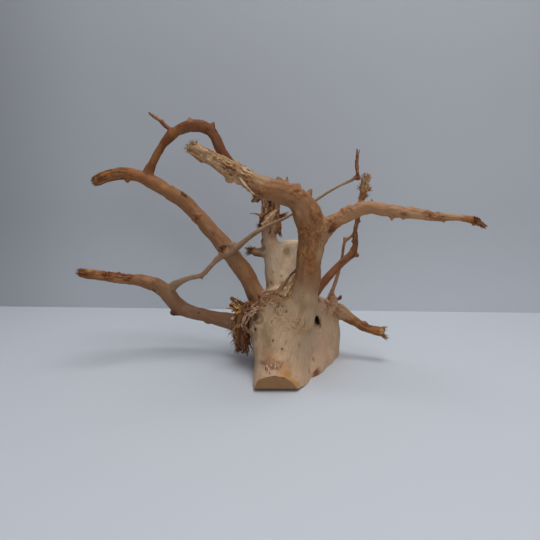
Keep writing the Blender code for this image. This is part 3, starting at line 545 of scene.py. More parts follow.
def sight(place):
    """The camera's place and the way it looks through a pixel of the photograph, in mm."""
    across = (place[0] - PICTURE / 2) / FOCAL_PIXELS
    up = (PICTURE / 2 - place[1]) / FOCAL_PIXELS
    look = Vector((
        across,
        math.cos(CAMERA_PITCH) + up * math.sin(CAMERA_PITCH),
        up * math.cos(CAMERA_PITCH) - math.sin(CAMERA_PITCH),
    ))
    return Vector(CAMERA_PLACE) / MM, look.normalized()


def seen_place(skin, pixel):
    """The place on the wood that the photograph shows at a pixel, or next to it, in mm."""
    for ring in range(SEEK_RINGS):
        for turn in range(SEEK_TURNS):
            angle = 2 * math.pi * turn / SEEK_TURNS
            eye, look = sight((pixel[0] + ring * math.cos(angle), pixel[1] + ring * math.sin(angle)))
            found = skin.ray_cast(eye * MM, look)[0]
            if found is not None:
                return np.array(found) / MM
    raise RuntimeError(f"no wood is seen near pixel {pixel}")


def skin_tree(mesh):
    return BVHTree.FromPolygons(
        [vert.co.copy() for vert in mesh.vertices], [tuple(face.vertices) for face in mesh.polygons]
    )


class Wires:
    """Short calls that add nodes to a tree and join them."""

    def __init__(self, tree):
        self.tree = tree
        self.shading = tree.bl_idname == "ShaderNodeTree"

    def feed(self, socket, value):
        if isinstance(value, bpy.types.NodeSocket):
            self.tree.links.new(value, socket)
        elif socket.type == "RGBA":
            socket.default_value = (*value[:3], 1.0)
        else:
            socket.default_value = value

    def add(self, kind, values=None, **settings):
        node = self.tree.nodes.new(kind)
        for name, value in settings.items():
            setattr(node, name, value)
        for name, value in (values or {}).items():
            self.feed(node.inputs[name], value)
        return node

    def first(self, kind, values=None, **settings):
        """The first output of a new node."""
        return self.add(kind, values, **settings).outputs[0]

    def math(self, operation, *values, clamp=False):
        return self.first("ShaderNodeMath", dict(enumerate(values)), operation=operation, use_clamp=clamp)

    def times(self, *values):
        return reduce(lambda first, second: self.math("MULTIPLY", first, second), values)

    def plus(self, *values):
        return reduce(lambda first, second: self.math("ADD", first, second), values)

    def minus(self, first, second):
        return self.math("SUBTRACT", first, second)

    def vector(self, operation, *values):
        node = self.add("ShaderNodeVectorMath", dict(enumerate(values)), operation=operation)
        return node.outputs["Value" if operation in ("DOT_PRODUCT", "LENGTH") else "Vector"]

    def join(self, x, y, z):
        return self.first("ShaderNodeCombineXYZ", {"X": x, "Y": y, "Z": z})

    def split(self, vector):
        return self.add("ShaderNodeSeparateXYZ", {0: vector}).outputs

    def noise(self, place, scale, detail=2.0, roughness=0.5, distortion=0.0):
        return self.first("ShaderNodeTexNoise", {
            "Vector": place, "Scale": scale, "Detail": detail, "Roughness": roughness,
            "Distortion": distortion,
        })

    def cells(self, place, scale):
        return self.add("ShaderNodeTexVoronoi", {"Vector": place, "Scale": scale})

    def ramp(self, value, low, high, to_low=0.0, to_high=1.0):
        return self.first("ShaderNodeMapRange", {
            "Value": value, "From Min": low, "From Max": high, "To Min": to_low, "To Max": to_high,
        }, interpolation_type="SMOOTHSTEP")

    def mix(self, factor, first, second, blend="MIX"):
        node = self.add("ShaderNodeMix", {0: factor, 6: first, 7: second}, data_type="RGBA", blend_type=blend)
        return node.outputs[2]

    def tint(self, colour, factor, tone):
        """The colour, drawn by the factor towards a tone."""
        return self.mix(factor, colour, linear(TONES[tone]))

    def tints(self, colour, layers):
        """The colour under layers, each a factor and a tone."""
        for factor, tone in layers:
            colour = self.tint(colour, factor, tone)
        return colour

    def shade(self, colour, amount):
        """The colour, made darker or lighter by the amount."""
        return self.mix(1.0, colour, self.join(amount, amount, amount), "MULTIPLY")

    def attribute(self, name, kind="FLOAT_VECTOR"):
        if self.shading:
            node = self.add("ShaderNodeAttribute", attribute_name=name)
            return node.outputs[{"FLOAT_VECTOR": "Vector", "FLOAT": "Fac", "FLOAT_COLOR": "Color"}[kind]]
        return self.first("GeometryNodeInputNamedAttribute", {"Name": name}, data_type=kind)

    def number(self, name):
        return self.attribute(name, "FLOAT")

    def group(self, tree, values):
        node = self.add("ShaderNodeGroup" if self.shading else "GeometryNodeGroup", node_tree=tree)
        for name, value in values.items():
            self.feed(node.inputs[name], value)
        return node.outputs


SOCKET_KINDS = {bool: "Bool", int: "Int", float: "Float"}


def new_tree(name, kind, inputs, outputs):
    """A node tree with named inputs and outputs, each with its default or the kind of what it carries."""
    tree = bpy.data.node_groups.new(name, kind)
    for direction, sockets in (("INPUT", inputs), ("OUTPUT", outputs)):
        for label, default in sockets.items():
            carried = SOCKET_KINDS.get(type(default), default)
            socket = tree.interface.new_socket(label, in_out=direction, socket_type=f"NodeSocket{carried}")
            if carried != default:
                socket.default_value = default
    return tree, tree.nodes.new("NodeGroupInput"), tree.nodes.new("NodeGroupOutput")


def input_key(tree, label):
    """The identifier of a tree's input, by its name."""
    for item in tree.interface.items_tree:
        if item.item_type == "SOCKET" and item.in_out == "INPUT" and item.name == label:
            return item.identifier
    raise KeyError(label)


def wear(obj, tree, values):
    """Runs the tree on the object with the values of its named inputs, and keeps the result."""
    worn = obj.modifiers.new(tree.name, "NODES")
    worn.node_group = tree
    for label, value in values.items():
        worn[input_key(tree, label)] = value
    settle(obj)


def grain_group(kind):
    """Noise drawn out along the limbs, and blended where limbs meet."""
    name = "Grain along limbs, " + ("shading" if kind == "ShaderNodeTree" else "shape")
    made = bpy.data.node_groups.get(name)
    if made:
        return made
    tree, entry, leave = new_tree(
        name, kind, {"Across": 0.004, "Stretch": 7.0, "Detail": 2.0, "Shift": 0.0}, {"Grain": "Float"})
    wires = Wires(tree)
    fine = wires.math("DIVIDE", 1.0, entry.outputs["Across"])
    coarse = wires.math("DIVIDE", fine, entry.outputs["Stretch"])
    squeeze = wires.join(coarse, fine, fine)
    shares = wires.split(wires.attribute("grain_share"))
    total = None
    for layer in range(LAYERS):
        place = wires.vector("MULTIPLY", wires.attribute(f"grain_{layer}"), squeeze)
        shift = wires.plus(entry.outputs["Shift"], 31.0 * layer)
        place = wires.vector("ADD", place, wires.join(shift, shift, shift))
        part = wires.times(wires.noise(place, 1.0, entry.outputs["Detail"]), shares[layer])
        total = part if total is None else wires.plus(total, part)
    wires.feed(leave.inputs["Grain"], total)
    return tree


def relief_tree():
    """Raises lumps, ridges along the grain, bark plates and folds, and sinks cracks and pits."""
    tree, entry, leave = new_tree("Wood relief", "GeometryNodeTree", {
        "Geometry": "Geometry", "Lump height": 0.001, "Ridge height": 0.001, "Fine height": 0.0005,
        "Crack depth": 0.001, "Plate height": 0.0006, "Fold height": 0.0004,
    }, {"Geometry": "Geometry"})
    wires = Wires(tree)
    asked = entry.outputs
    grain = grain_group("GeometryNodeTree")
    position = wires.first("GeometryNodeInputPosition")
    normal = wires.first("GeometryNodeInputNormal")
    girth = wires.number("girth")
    thick = wires.ramp(girth, 0.002, 0.012, 0.25, 1.0)
    torn = wires.number("torn")
    bark = wires.number("bark")
    folds = wires.number("folds")
    quiet = wires.number("calm")
    calm = wires.ramp(quiet, 0.0, 1.0, 1.0, 0.3)

    def swing(noise, height):
        return wires.times(wires.minus(noise, 0.5), height)

    lumps = wires.times(swing(wires.noise(position, 75.0, 2.0), asked["Lump height"]), thick)
    ridge = wires.group(grain, {"Across": 0.0048, "Stretch": 6.0, "Detail": 1.5})[0]
    ridge_size = wires.times(thick, wires.ramp(torn, 0.0, 1.0, 1.0, 1.4))
    ridges = wires.times(swing(ridge, asked["Ridge height"]), ridge_size)
    fine = wires.group(grain, {"Across": 0.0018, "Stretch": 14.0, "Detail": 1.0, "Shift": 5.0})[0]
    fines = wires.times(swing(fine, asked["Fine height"]), wires.ramp(torn, 0.0, 1.0, 1.0, 3.6))
    split = wires.group(grain, {"Across": 0.0075, "Stretch": 9.0, "Detail": 2.5, "Shift": 9.0})[0]
    where = wires.plus(wires.noise(position, 34.0, 2.0), wires.times(torn, 0.16))
    crack = wires.times(
        wires.ramp(wires.math("ABSOLUTE", wires.minus(split, 0.5)), 0.004, 0.020, 1.0, 0.0),
        wires.ramp(where, 0.57, 0.67),
        wires.ramp(quiet, 0.2, 0.9, 1.0, 0.1),
        wires.ramp(torn, 0.0, 1.0, 1.0, 0.15),
        wires.ramp(bark, 0.0, 1.0, 1.0, 0.3),
    )
    cells = wires.cells(position, 95.0)
    chosen = wires.ramp(wires.split(cells.outputs["Color"])[0], 0.88, 0.90)
    pit = wires.times(wires.ramp(cells.outputs["Distance"], 0.06, 0.20, 1.0, 0.0), chosen)
    hollow = wires.math("MAXIMUM", crack, pit)
    scales = wires.noise(position, 135.0, 3.0, 0.6, 0.6)
    plate = wires.ramp(scales, 0.49, 0.53)
    rim = wires.times(wires.ramp(scales, 0.45, 0.48), wires.ramp(scales, 0.49, 0.51, 1.0, 0.0))
    warp = wires.times(wires.noise(position, 105.0, 2.0), 24.0)
    spot = wires.split(position)
    phase = wires.plus(wires.times(spot[2], 2000.0), wires.times(spot[0], 350.0), warp)
    broken = wires.ramp(wires.noise(position, 210.0, 1.0), 0.36, 0.52)
    wave = wires.times(wires.ramp(wires.math("SINE", phase), 0.0, 1.0), broken, folds)
    height = wires.plus(wires.times(wires.plus(lumps, ridges), calm), wires.times(fines, calm))
    height = wires.minus(height, wires.times(hollow, asked["Crack depth"]))
    height = wires.plus(height, wires.times(plate, bark, asked["Plate height"]))
    height = wires.plus(height, wires.times(wave, asked["Fold height"]))
    height = wires.minus(height, wires.ramp(girth, 0.0058, 0.0040, 0.0, 0.0006))
    carved = asked["Geometry"]
    # The hollows are kept for the wood's colour, which darkens them as painted shade.
    for name, value in (
        ("crack", hollow), ("plate", wires.times(wires.minus(plate, rim), bark)), ("fold", wave),
    ):
        carved = wires.first("GeometryNodeStoreNamedAttribute", {
            "Geometry": carved, "Name": name, "Value": value,
        }, data_type="FLOAT", domain="POINT")
    offset = wires.first("ShaderNodeVectorMath", {0: normal, "Scale": height}, operation="SCALE")
    moved = wires.add("GeometryNodeSetPosition", {"Geometry": carved, "Offset": offset})
    wires.feed(leave.inputs["Geometry"], moved.outputs[0])
    return tree


def smooth_skin(mesh, strength, rounds):
    """Eases the solid's flat facets away and keeps its girth, as each pull in is answered by a push."""
    places = coordinates(mesh)
    ends = np.empty(len(mesh.edges) * 2, np.int64)
    mesh.edges.foreach_get("vertices", ends)
    first, second = ends[0::2], ends[1::2]
    count = len(places)
    touching = np.maximum(np.bincount(ends, minlength=count), 1)[:, None]
    for _ in range(rounds):
        for factor in (SMOOTH_PUSH, SMOOTH_PULL):
            total = np.stack([
                np.bincount(first, places[second, axis], count)
                + np.bincount(second, places[first, axis], count)
                for axis in range(3)
            ], axis=1)
            places += (total / touching - places) * (factor * strength)[:, None]
    set_coordinates(mesh, places)


def stand_proud(mesh):
    """Draws the wood a little through the planes of the saw cuts, so that the cuts come out crisp."""
    points = coordinates(mesh) / MM
    across = points[:, 1] - SAWN_FACE_Y + np.tan(SAWN_FACE_LEAN) * points[:, 2]
    front = (points[:, 2] < FACE_TOP) & (points[:, 1] < SAWN_FACE_Y + 2 * CUT_REACH)
    points[:, 1] -= np.where(front, ramp(across, CUT_REACH, 0.0) * CUT_PROUD, 0)
    floor = np.maximum(LIP_START_Y - points[:, 1], 0) * math.tan(LIP_RISE)
    points[:, 2] -= ramp(points[:, 2] - floor, CUT_REACH, 0.0) * CUT_PROUD
    set_coordinates(mesh, points * MM)


def swell(mesh):
    """Fills the skin out, or sinks it, where the photograph shows it so beside the part's solid."""
    points = coordinates(mesh) / MM
    for centre, reach, push in BULGES:
        amount = ramp(np.linalg.norm(points - np.array(centre), axis=1) / reach, 1.0, 0.0)
        points += amount[:, None] * np.array(push)
    set_coordinates(mesh, points * MM)


def cut_block(centre, turn_x):
    shape = bmesh.new()
    bmesh.ops.create_cube(shape, size=CUTTER_SIZE * MM)
    turn = Matrix.Translation(centre * MM) @ Matrix.Rotation(turn_x, 4, "X")
    bmesh.ops.transform(shape, matrix=turn, verts=shape.verts)
    mesh = bpy.data.meshes.new("saw")
    shape.to_mesh(mesh)
    shape.free()
    return new_object("saw", mesh)


def saw(wood):
    """Cuts the front face, the raised lip and the base, and gives the cut faces their own finish."""
    for place, turn, facing in SAW_CUTS:
        block = cut_block(Vector(place) + Vector(facing) * CUTTER_SIZE / 2, turn)
        cut = wood.modifiers.new("saw", "BOOLEAN")
        cut.operation = "DIFFERENCE"
        cut.object = block
        cut.solver = "MANIFOLD"
        settle(wood)
        bpy.data.objects.remove(block)
    sawn = 0
    for face in wood.data.polygons:
        for place, _, facing in SAW_CUTS:
            flat = face.normal.dot(Vector(facing)) > FLAT_FACING
            if flat and abs((face.center - Vector(place) * MM).dot(Vector(facing))) < FLAT_GAP * MM:
                face.material_index = 1
                face.use_smooth = False
                sawn += 1
    if not sawn:
        raise RuntimeError("the saw cuts left no flat face")
    beside = {}
    for face in wood.data.polygons:
        for edge in face.edge_keys:
            beside.setdefault(edge, set()).add(face.material_index)
    for edge in wood.data.edges:
        edge.use_edge_sharp = len(beside[edge.key]) > 1


def heal_rim(mesh):
    """Gives the points that the saw cuts made the skin's values, as read from the nearest older point."""
    cut = sorted({point for face in mesh.polygons if face.material_index for point in face.vertices})
    made = set(cut)
    kept = [index for index in range(len(mesh.vertices)) if index not in made]
    tree = KDTree(len(kept))
    for index in kept:
        tree.insert(mesh.vertices[index].co, index)
    tree.balance()
    source = [tree.find(mesh.vertices[index].co)[1] for index in cut]
    for attribute in mesh.attributes:
        if attribute.name == "position" or attribute.domain != "POINT" or attribute.data_type not in FIELDS:
            continue
        field, width = FIELDS[attribute.data_type]
        values = read_rows(attribute.data, field, width)
        values[cut] = values[source]
        attribute.data.foreach_set(field, values.ravel())


def mark_amount(points, centre, reach, tall, seed):
    """How strongly a mark covers each point: full at its middle, with a ragged edge."""
    away = (points - centre) / np.array([reach, reach * 1.3, reach * tall])
    distance = np.linalg.norm(away, axis=1)
    near = np.flatnonzero(distance < 2)
    amount = np.zeros(len(points))
    ragged = (value_noise(points[near], reach * 0.45, seed) - 0.5) * 2 * MARK_RAGGED
    ragged += (value_noise(points[near], reach * 0.18, seed + 1) - 0.5) * MARK_RAGGED
    amount[near] = ramp(distance[near] + ragged, *MARK_EDGE)
    return amount


def stains_and_shade_skin(points, skin):
    """Colour and strength of every mark and blotch, laid over each other: stains, with some marks painted
    shade or painted highlight.
    """
    colour = np.zeros((len(points), 3))
    cover = np.zeros(len(points))

    def lay(amount, tone):
        share = amount[:, None]
        colour[:] = colour * (1 - share) + linear(TONES[tone]) * share
        cover[:] = cover * (1 - amount) + amount

    draw = random.Random(BLOTCH_SEED)
    for name, run in RUNS.items():
        for _ in range(round(run.length * MM * BLOTCHES_PER_METRE)):
            place, _, _, radius = run.place(draw.random(), draw.uniform(0, 2 * math.pi))
            reach = draw.uniform(*BLOTCH_REACH) * min(1.0, 0.35 + radius / 16)
            amount = mark_amount(points, place, reach, draw.uniform(0.6, 1.8), draw.randrange(9999))
            lay(amount * draw.uniform(0.1, 0.5), draw.choice(BLOTCH_TONES))
    for index, (pixel, reach, tall, tone, strength) in enumerate(MARKS):
        centre = seen_place(skin, pixel)
        lay(mark_amount(points, centre, reach, tall, MARK_SEED + index) * strength, tone)
    return np.column_stack([colour / np.maximum(cover, 1e-4)[:, None], cover])


def patch_amount(points, skin, patches):
    """Covers patches of the skin, each a picture place, a reach in mm and how tall it is."""
    amount = np.zeros(len(points))
    for index, (pixel, reach, tall) in enumerate(patches):
        centre = seen_place(skin, pixel)
        amount = np.maximum(amount, mark_amount(points, centre, reach, tall, PATCH_SEED + index))
    return amount


def describe_skin(mesh):
    """Keeps on the skin what its relief and its colours are read from."""
    points = coordinates(mesh) / MM
    skin = skin_tree(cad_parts[NODE].data)
    found = follow_limbs(points)
    for layer in range(LAYERS):
        store(mesh, f"grain_{layer}", "FLOAT_VECTOR", found["grain"][layer] * MM)
    store(mesh, "grain_share", "FLOAT_VECTOR", found["shares"].T)
    store(mesh, "grain_way", "FLOAT_VECTOR", found["along"])
    store(mesh, "girth", "FLOAT", found["girth"] * MM)
    store(mesh, "torn", "FLOAT", found["torn"])
    store(mesh, "tone", "FLOAT_COLOR", np.column_stack([found["tone"], np.ones(len(points))]))
    store(mesh, "stain", "FLOAT_COLOR", stains_and_shade_skin(points, skin))
    store(mesh, "bark", "FLOAT", patch_amount(points, skin, BARK_PATCHES))
    store(mesh, "folds", "FLOAT", patch_amount(points, skin, FOLD_PATCHES))
    store(mesh, "calm", "FLOAT", found["calm"])


def new_material(name):
    """A material with its shader and the wires of its tree."""
    material = bpy.data.materials.new(name)
    material.use_nodes = True
    return material, material.node_tree.nodes["Principled BSDF"], Wires(material.node_tree)


def wood_material():
    """Bare weathered wood: limb tone, streaks along the grain, stains and painted shade from the marks,
    painted shade in cracks and pits, and a fine bump.
    """
    material, shader, wires = new_material("bare_wood")
    grain = grain_group("ShaderNodeTree")
    place = wires.add("ShaderNodeTexCoord").outputs["Object"]
    torn = wires.number("torn")
    calm = wires.ramp(wires.number("calm"), 0.0, 1.0, 1.0, 0.35)
    bare = wires.times(calm, wires.ramp(torn, 0.0, 1.0, 0.6, 1.0))
    broad = wires.group(grain, {"Across": 0.014, "Stretch": 2.2, "Detail": 3.0, "Shift": 3.0})[0]
    streak = wires.group(grain, {"Across": 0.0042, "Stretch": 6.0, "Detail": 3.0, "Shift": 7.0})[0]
    hair = wires.group(grain, {"Across": 0.0012, "Stretch": 11.0, "Detail": 2.0, "Shift": 13.0})[0]
    ridge = wires.group(grain, {"Across": 0.0048, "Stretch": 6.0, "Detail": 1.5})[0]

    def share(value, low, high, top):
        return wires.times(wires.ramp(value, low, high, 0.0, top), bare)

    colour = wires.tints(wires.attribute("tone", "FLOAT_COLOR"), [
        (share(broad, 0.50, 0.74, 0.8), "orange"),
        (share(broad, 0.47, 0.28, 0.5), "pale"),
        (share(streak, 0.52, 0.75, 0.5), "brown"),
        (share(streak, 0.46, 0.28, 0.4), "straw"),
    ])
    shade = wires.ramp(hair, 0.30, 0.70, 0.90, 1.08)
    colour = wires.shade(colour, shade)
    low = wires.times(share(ridge, 0.47, 0.34, 1.0), wires.ramp(torn, 0.0, 1.0, 0.2, 0.7))
    colour = wires.tint(colour, low, "ochre")
    # The marks hold stains, painted shade in hollows and slits, and a painted highlight.
    stain = wires.add("ShaderNodeAttribute", attribute_name="stain")
    colour = wires.mix(stain.outputs["Alpha"], colour, stain.outputs["Color"])
    plate = wires.number("plate")
    cells = wires.cells(place, 420.0)
    chosen = wires.ramp(wires.split(cells.outputs["Color"])[1], 0.90, 0.93)
    colour = wires.tints(colour, [
        (wires.ramp(plate, 0.0, 1.0, 0.0, 0.5), "orange"),
        (wires.ramp(plate, 0.0, -1.0, 0.0, 0.55), "red_brown"),
        (wires.times(wires.number("fold"), 0.75), "straw"),
        (wires.times(chosen, wires.ramp(cells.outputs["Distance"], 0.10, 0.34, 0.45, 0.0)), "umber"),
        # Cracks and pits are tinted dark: painted shade in the hollows.
        (wires.times(wires.number("crack"), 0.72), "dark"),
    ])
    wires.feed(shader.inputs["Base Color"], colour)
    shader.inputs["Specular IOR Level"].default_value = 0.3
    gloss = wires.ramp(wires.noise(place, 160.0, 3.0), 0.3, 0.7, 0.56, 0.78)
    rough = wires.math("ADD", gloss, wires.times(torn, 0.18), clamp=True)
    wires.feed(shader.inputs["Roughness"], rough)
    small = wires.plus(wires.times(hair, 0.7), wires.times(streak, 0.5))
    small = wires.plus(small, wires.times(wires.noise(place, 900.0, 3.0), 0.25))
    bump = wires.add("ShaderNodeBump", {"Strength": 0.55, "Distance": 0.0006, "Height": small})
    wires.feed(shader.inputs["Normal"], bump.outputs[0])
    return material


def sawn_material():
    """The sawn face: rings round the heart, fine rays and the saw's scratches."""
    material, shader, wires = new_material("sawn_wood")
    place = wires.add("ShaderNodeTexCoord").outputs["Object"]
    heart = wires.vector("SUBTRACT", place, Vector(SAWN_HEART) * MM)
    flat = wires.vector("MULTIPLY", heart, (1.0, 0.0, 1.0))
    warp = wires.times(wires.noise(place, 90.0, 2.0), 0.006)
    away = wires.plus(wires.vector("LENGTH", flat), warp)
    ring = wires.math("SINE", wires.times(away, 3600.0))
    scratch = wires.noise(wires.vector("MULTIPLY", place, (60.0, 1.0, 1400.0)), 1.0, 2.0)
    colour = wires.tint(linear(TONES["sawn"]), wires.ramp(ring, -1.0, 1.0, 0.0, 0.35), "sawn_ring")
    colour = wires.tint(colour, wires.ramp(scratch, 0.35, 0.7, 0.0, 0.5), "sawn_pale")
    speck = wires.ramp(wires.noise(place, 500.0, 2.0), 0.58, 0.70, 0.0, 0.5)
    colour = wires.tint(colour, speck, "umber")
    wires.feed(shader.inputs["Base Color"], colour)
    shader.inputs["Roughness"].default_value = 0.8
    rough = wires.plus(wires.times(scratch, 0.6), wires.times(ring, 0.1))
    bump = wires.add("ShaderNodeBump", {"Strength": 0.5, "Distance": 0.0005, "Height": rough})
    wires.feed(shader.inputs["Normal"], bump.outputs[0])
    return material


def build_wood(settings):
    """The whole root as one fine skin over the part's solid, which it stands for."""
    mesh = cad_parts[NODE].data.copy()
    shape = bmesh.new()
    shape.from_mesh(mesh)
    bmesh.ops.remove_doubles(shape, verts=shape.verts, dist=0.001 * MM)
    shape.to_mesh(mesh)
    shape.free()
    mesh.materials.clear()
    wood = new_object("wood", mesh)
    skin = wood.modifiers.new("skin", "REMESH")
    skin.mode = "VOXEL"
    skin.voxel_size = settings.skin_step
    settle(wood)
    girth = follow_limbs(coordinates(wood.data) / MM)["girth"]
    strength = SLIM_SMOOTHING + (1 - SLIM_SMOOTHING) * ramp(girth, *SLIM_GIRTH)
    smooth_skin(wood.data, strength, settings.smooth_rounds)
    swell(wood.data)
    stand_proud(wood.data)
    describe_skin(wood.data)
    wear(wood, relief_tree(), {
        "Lump height": settings.lump_height, "Ridge height": settings.ridge_height,
        "Fine height": settings.fine_height, "Crack depth": settings.crack_depth,
        "Plate height": settings.plate_height, "Fold height": settings.fold_height,
    })
    thin = wood.modifiers.new("thin", "DECIMATE")
    thin.ratio = min(1.0, settings.triangles / triangles(wood.data))
    settle(wood)
    wood.data.materials.clear()
    wood.data.materials.append(wood_material())
    wood.data.materials.append(sawn_material())
    wood.data.shade_smooth()
    saw(wood)
    heal_rim(wood.data)
    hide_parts(NODE)
    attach(wood, BODY)
    return wood


Strand = namedtuple("Strand", "points radius tip tones lies")
STRAND_POINTS = 6


class Skin:
    """The finished wood, for laying strands on: its nearest places, normals and grain."""

    def __init__(self, mesh):
        self.tree = skin_tree(mesh)
        self.corners = [face.vertices[0] for face in mesh.polygons]
        self.ways = read_rows(mesh.attributes["grain_way"].data, "vector", 3)

    def nearest(self, point):
        place, normal, face, _ = self.tree.find_nearest(Vector(point) * MM)
        return place / MM, normal, Vector(self.ways[self.corners[face]])

    def seen(self, pixel):
        return self.nearest(seen_place(self.tree, pixel))


def wood_skin():
    wood = bpy.data.objects.get("wood")
    if wood is None:
        raise RuntimeError("the wood is built before what lies on it")
    return Skin(wood.data)


def any_way(draw):
    return Vector((draw.gauss(0, 1), draw.gauss(0, 1), draw.gauss(0, 1))).normalized()


def leaning(draw, way, spread):
    """A way that leans off the given one by up to about the spread, in degrees."""
    way = Vector(way).normalized()
    sideways = any_way(draw).cross(way).normalized()
    return (way + sideways * math.tan(math.radians(spread) * draw.random())).normalized()


def loose_strand(draw, start, way, length, radius, tip, tones, bend=0.25):
    """A strand that leaves its foot along the way and bends more and more."""
    place = Vector(start)
    way = Vector(way).normalized()
    pull = any_way(draw) * bend
    step = length / (STRAND_POINTS - 1)
    points = [place.copy()]
    for _ in range(STRAND_POINTS - 1):
        place = place + way * step
        points.append(place.copy())
        way = (way + pull * draw.uniform(0.2, 1.0)).normalized()
    return Strand(points, radius, tip, tones, [way.orthogonal()] * STRAND_POINTS)


def laid_strand(skin, points, radius, tip, tones, lifts):
    """A strand on the wood: its points are drawn onto it, each lifted off by its own amount."""
    laid = []
    lies = []
    for point, lift in zip(points, lifts):
        place, normal, _ = skin.nearest(point)
        laid.append(place + normal * lift)
        lies.append(normal)
    return Strand(laid, radius, tip, tones, lies)


def between(points, spacing):
    """The points of a broken line with more put in, so that no gap is wider than the spacing."""
    full = [Vector(points[0])]
    for here, there in zip(points, points[1:]):
        here, there = Vector(here), Vector(there)
        count = max(1, math.ceil((there - here).length / spacing))
        full.extend(here.lerp(there, step / count) for step in range(1, count + 1))
    return full


def strand_tree():
    """Sweeps an uneven rod or strip along each strand."""
    name = "Strands"
    made = bpy.data.node_groups.get(name)
    if made:
        return made
    tree, entry, leave = new_tree(name, "GeometryNodeTree", {
        "Geometry": "Geometry", "Step": 0.002, "Sides": 5, "Flatness": 0.6, "Wander": 0.0006,
        "Smooth": True, "Material": "Material",
    }, {"Geometry": "Geometry"})
    wires = Wires(tree)
    asked = entry.outputs
    curve = wires.first("GeometryNodeMeshToCurve", {0: asked["Geometry"]})
    curve = wires.first("GeometryNodeCurveSplineType", {0: curve}, spline_type="CATMULL_ROM")
    curve = wires.add("GeometryNodeResampleCurve", {"Curve": curve, "Length": asked["Step"]}, mode="LENGTH")
    position = wires.first("GeometryNodeInputPosition")
    share = wires.add("GeometryNodeSplineParameter").outputs["Factor"]
    sway = wires.add("ShaderNodeTexNoise", {"Vector": position, "Scale": 240.0, "Detail": 1.0})
    sway = wires.vector("SUBTRACT", sway.outputs["Color"], (0.5, 0.5, 0.5))
    reach = wires.times(asked["Wander"], wires.times(share, 2.0))
    sway = wires.first("ShaderNodeVectorMath", {0: sway, "Scale": reach}, operation="SCALE")
    curve = wires.first("GeometryNodeSetPosition", {"Geometry": curve.outputs[0], "Offset": sway})
    curve = wires.add("GeometryNodeSetCurveNormal", {
        "Curve": curve, "Normal": wires.attribute("lie"),
    }, mode="FREE").outputs[0]
    uneven = wires.ramp(wires.noise(position, 420.0, 2.0), 0.30, 0.70, 0.65, 1.25)
    girth = wires.times(wires.number("reach"), uneven)
    ring = wires.add("GeometryNodeCurvePrimitiveCircle", {"Resolution": asked["Sides"], "Radius": 1.0})
    squashed = wires.join(asked["Flatness"], 1.0, 1.0)
    ring = wires.first("GeometryNodeTransform", {"Geometry": ring.outputs[0], "Scale": squashed})
    rod = wires.add("GeometryNodeCurveToMesh", {
        "Curve": curve, "Profile Curve": ring, "Scale": girth, "Fill Caps": True,
    }).outputs[0]
    for kind, values in (
        ("GeometryNodeSetShadeSmooth", {"Shade Smooth": asked["Smooth"]}),
        ("GeometryNodeRealizeInstances", {}),
        ("GeometryNodeSetMaterial", {"Material": asked["Material"]}),
    ):
        rod = wires.first(kind, {"Geometry": rod, **values})
    wires.feed(leave.inputs["Geometry"], rod)
    return tree


def strand_material(name, roughness):
    """Each strand has its own tone, a little uneven along it."""
    material, shader, wires = new_material(name)
    place = wires.add("ShaderNodeTexCoord").outputs["Object"]
    shade = wires.ramp(wires.noise(place, 330.0, 3.0, 0.6), 0.30, 0.70, 0.62, 1.22)
    colour = wires.shade(wires.attribute("tone", "FLOAT_COLOR"), shade)
    speck = wires.ramp(wires.noise(place, 1300.0, 2.0), 0.60, 0.72, 0.0, 0.5)
    colour = wires.tint(colour, speck, "umber")
    wires.feed(shader.inputs["Base Color"], colour)
    shader.inputs["Roughness"].default_value = roughness
    shader.inputs["Specular IOR Level"].default_value = 0.3
    return material


# How each piece's strands are swept: material and its roughness, the step and the wander in shares of the
# settings, the sides and flatness of a rod, and whether it is smooth
Sweep = namedtuple("Sweep", "material roughness step wander sides flatness smooth")
SWEEPS = {
    "frayed_fibre": Sweep("fibre", 0.8, 1.0, 2.6, 7, 0.4, True),
    "rootlets": Sweep("rootlet", 0.75, 0.8, 0.6, 7, 0.6, True),
    "end_splinters": Sweep("splinter", 0.8, 1.4, 0.5, 5, 0.6, False),
    "lifted_grain": Sweep("grain_strip", 0.8, 1.4, 0.3, 6, 0.45, True),
    "bark_flakes": Sweep("bark_flake", 0.85, 0.7, 0.0, 6, 0.2, True),
}


def sweep_strands(name, strands, settings):
    """Makes the strands one piece that rides with the root."""
    sweep = SWEEPS[name]
    places, edges, radii, tones, lies = [], [], [], [], []
    for strand in strands:
        first = len(places)
        last = len(strand.points) - 1
        edges.extend((first + index, first + index + 1) for index in range(last))
        foot, tip = (linear(TONES[tone]) for tone in strand.tones)
        for index, (point, lie) in enumerate(zip(strand.points, strand.lies)):
            share = index / last
            places.append(Vector(point) * MM)
            radii.append(strand.radius * (1 - (1 - strand.tip) * share ** 1.6) * MM)
            tones.append((*(foot * (1 - share) + tip * share), 1.0))
            lies.append(lie)
    mesh = bpy.data.meshes.new(name)
    mesh.from_pydata(places, edges, [])
    store(mesh, "reach", "FLOAT", radii)
    store(mesh, "tone", "FLOAT_COLOR", tones)
    store(mesh, "lie", "FLOAT_VECTOR", np.array([tuple(lie) for lie in lies]))
    piece = new_object(name, mesh)
    wear(piece, strand_tree(), {
        "Step": settings.step * sweep.step, "Wander": settings.wander * sweep.wander, "Sides": sweep.sides,
        "Flatness": sweep.flatness, "Smooth": sweep.smooth,
        "Material": strand_material(sweep.material, sweep.roughness),
    })
    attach(piece, BODY)
    return piece


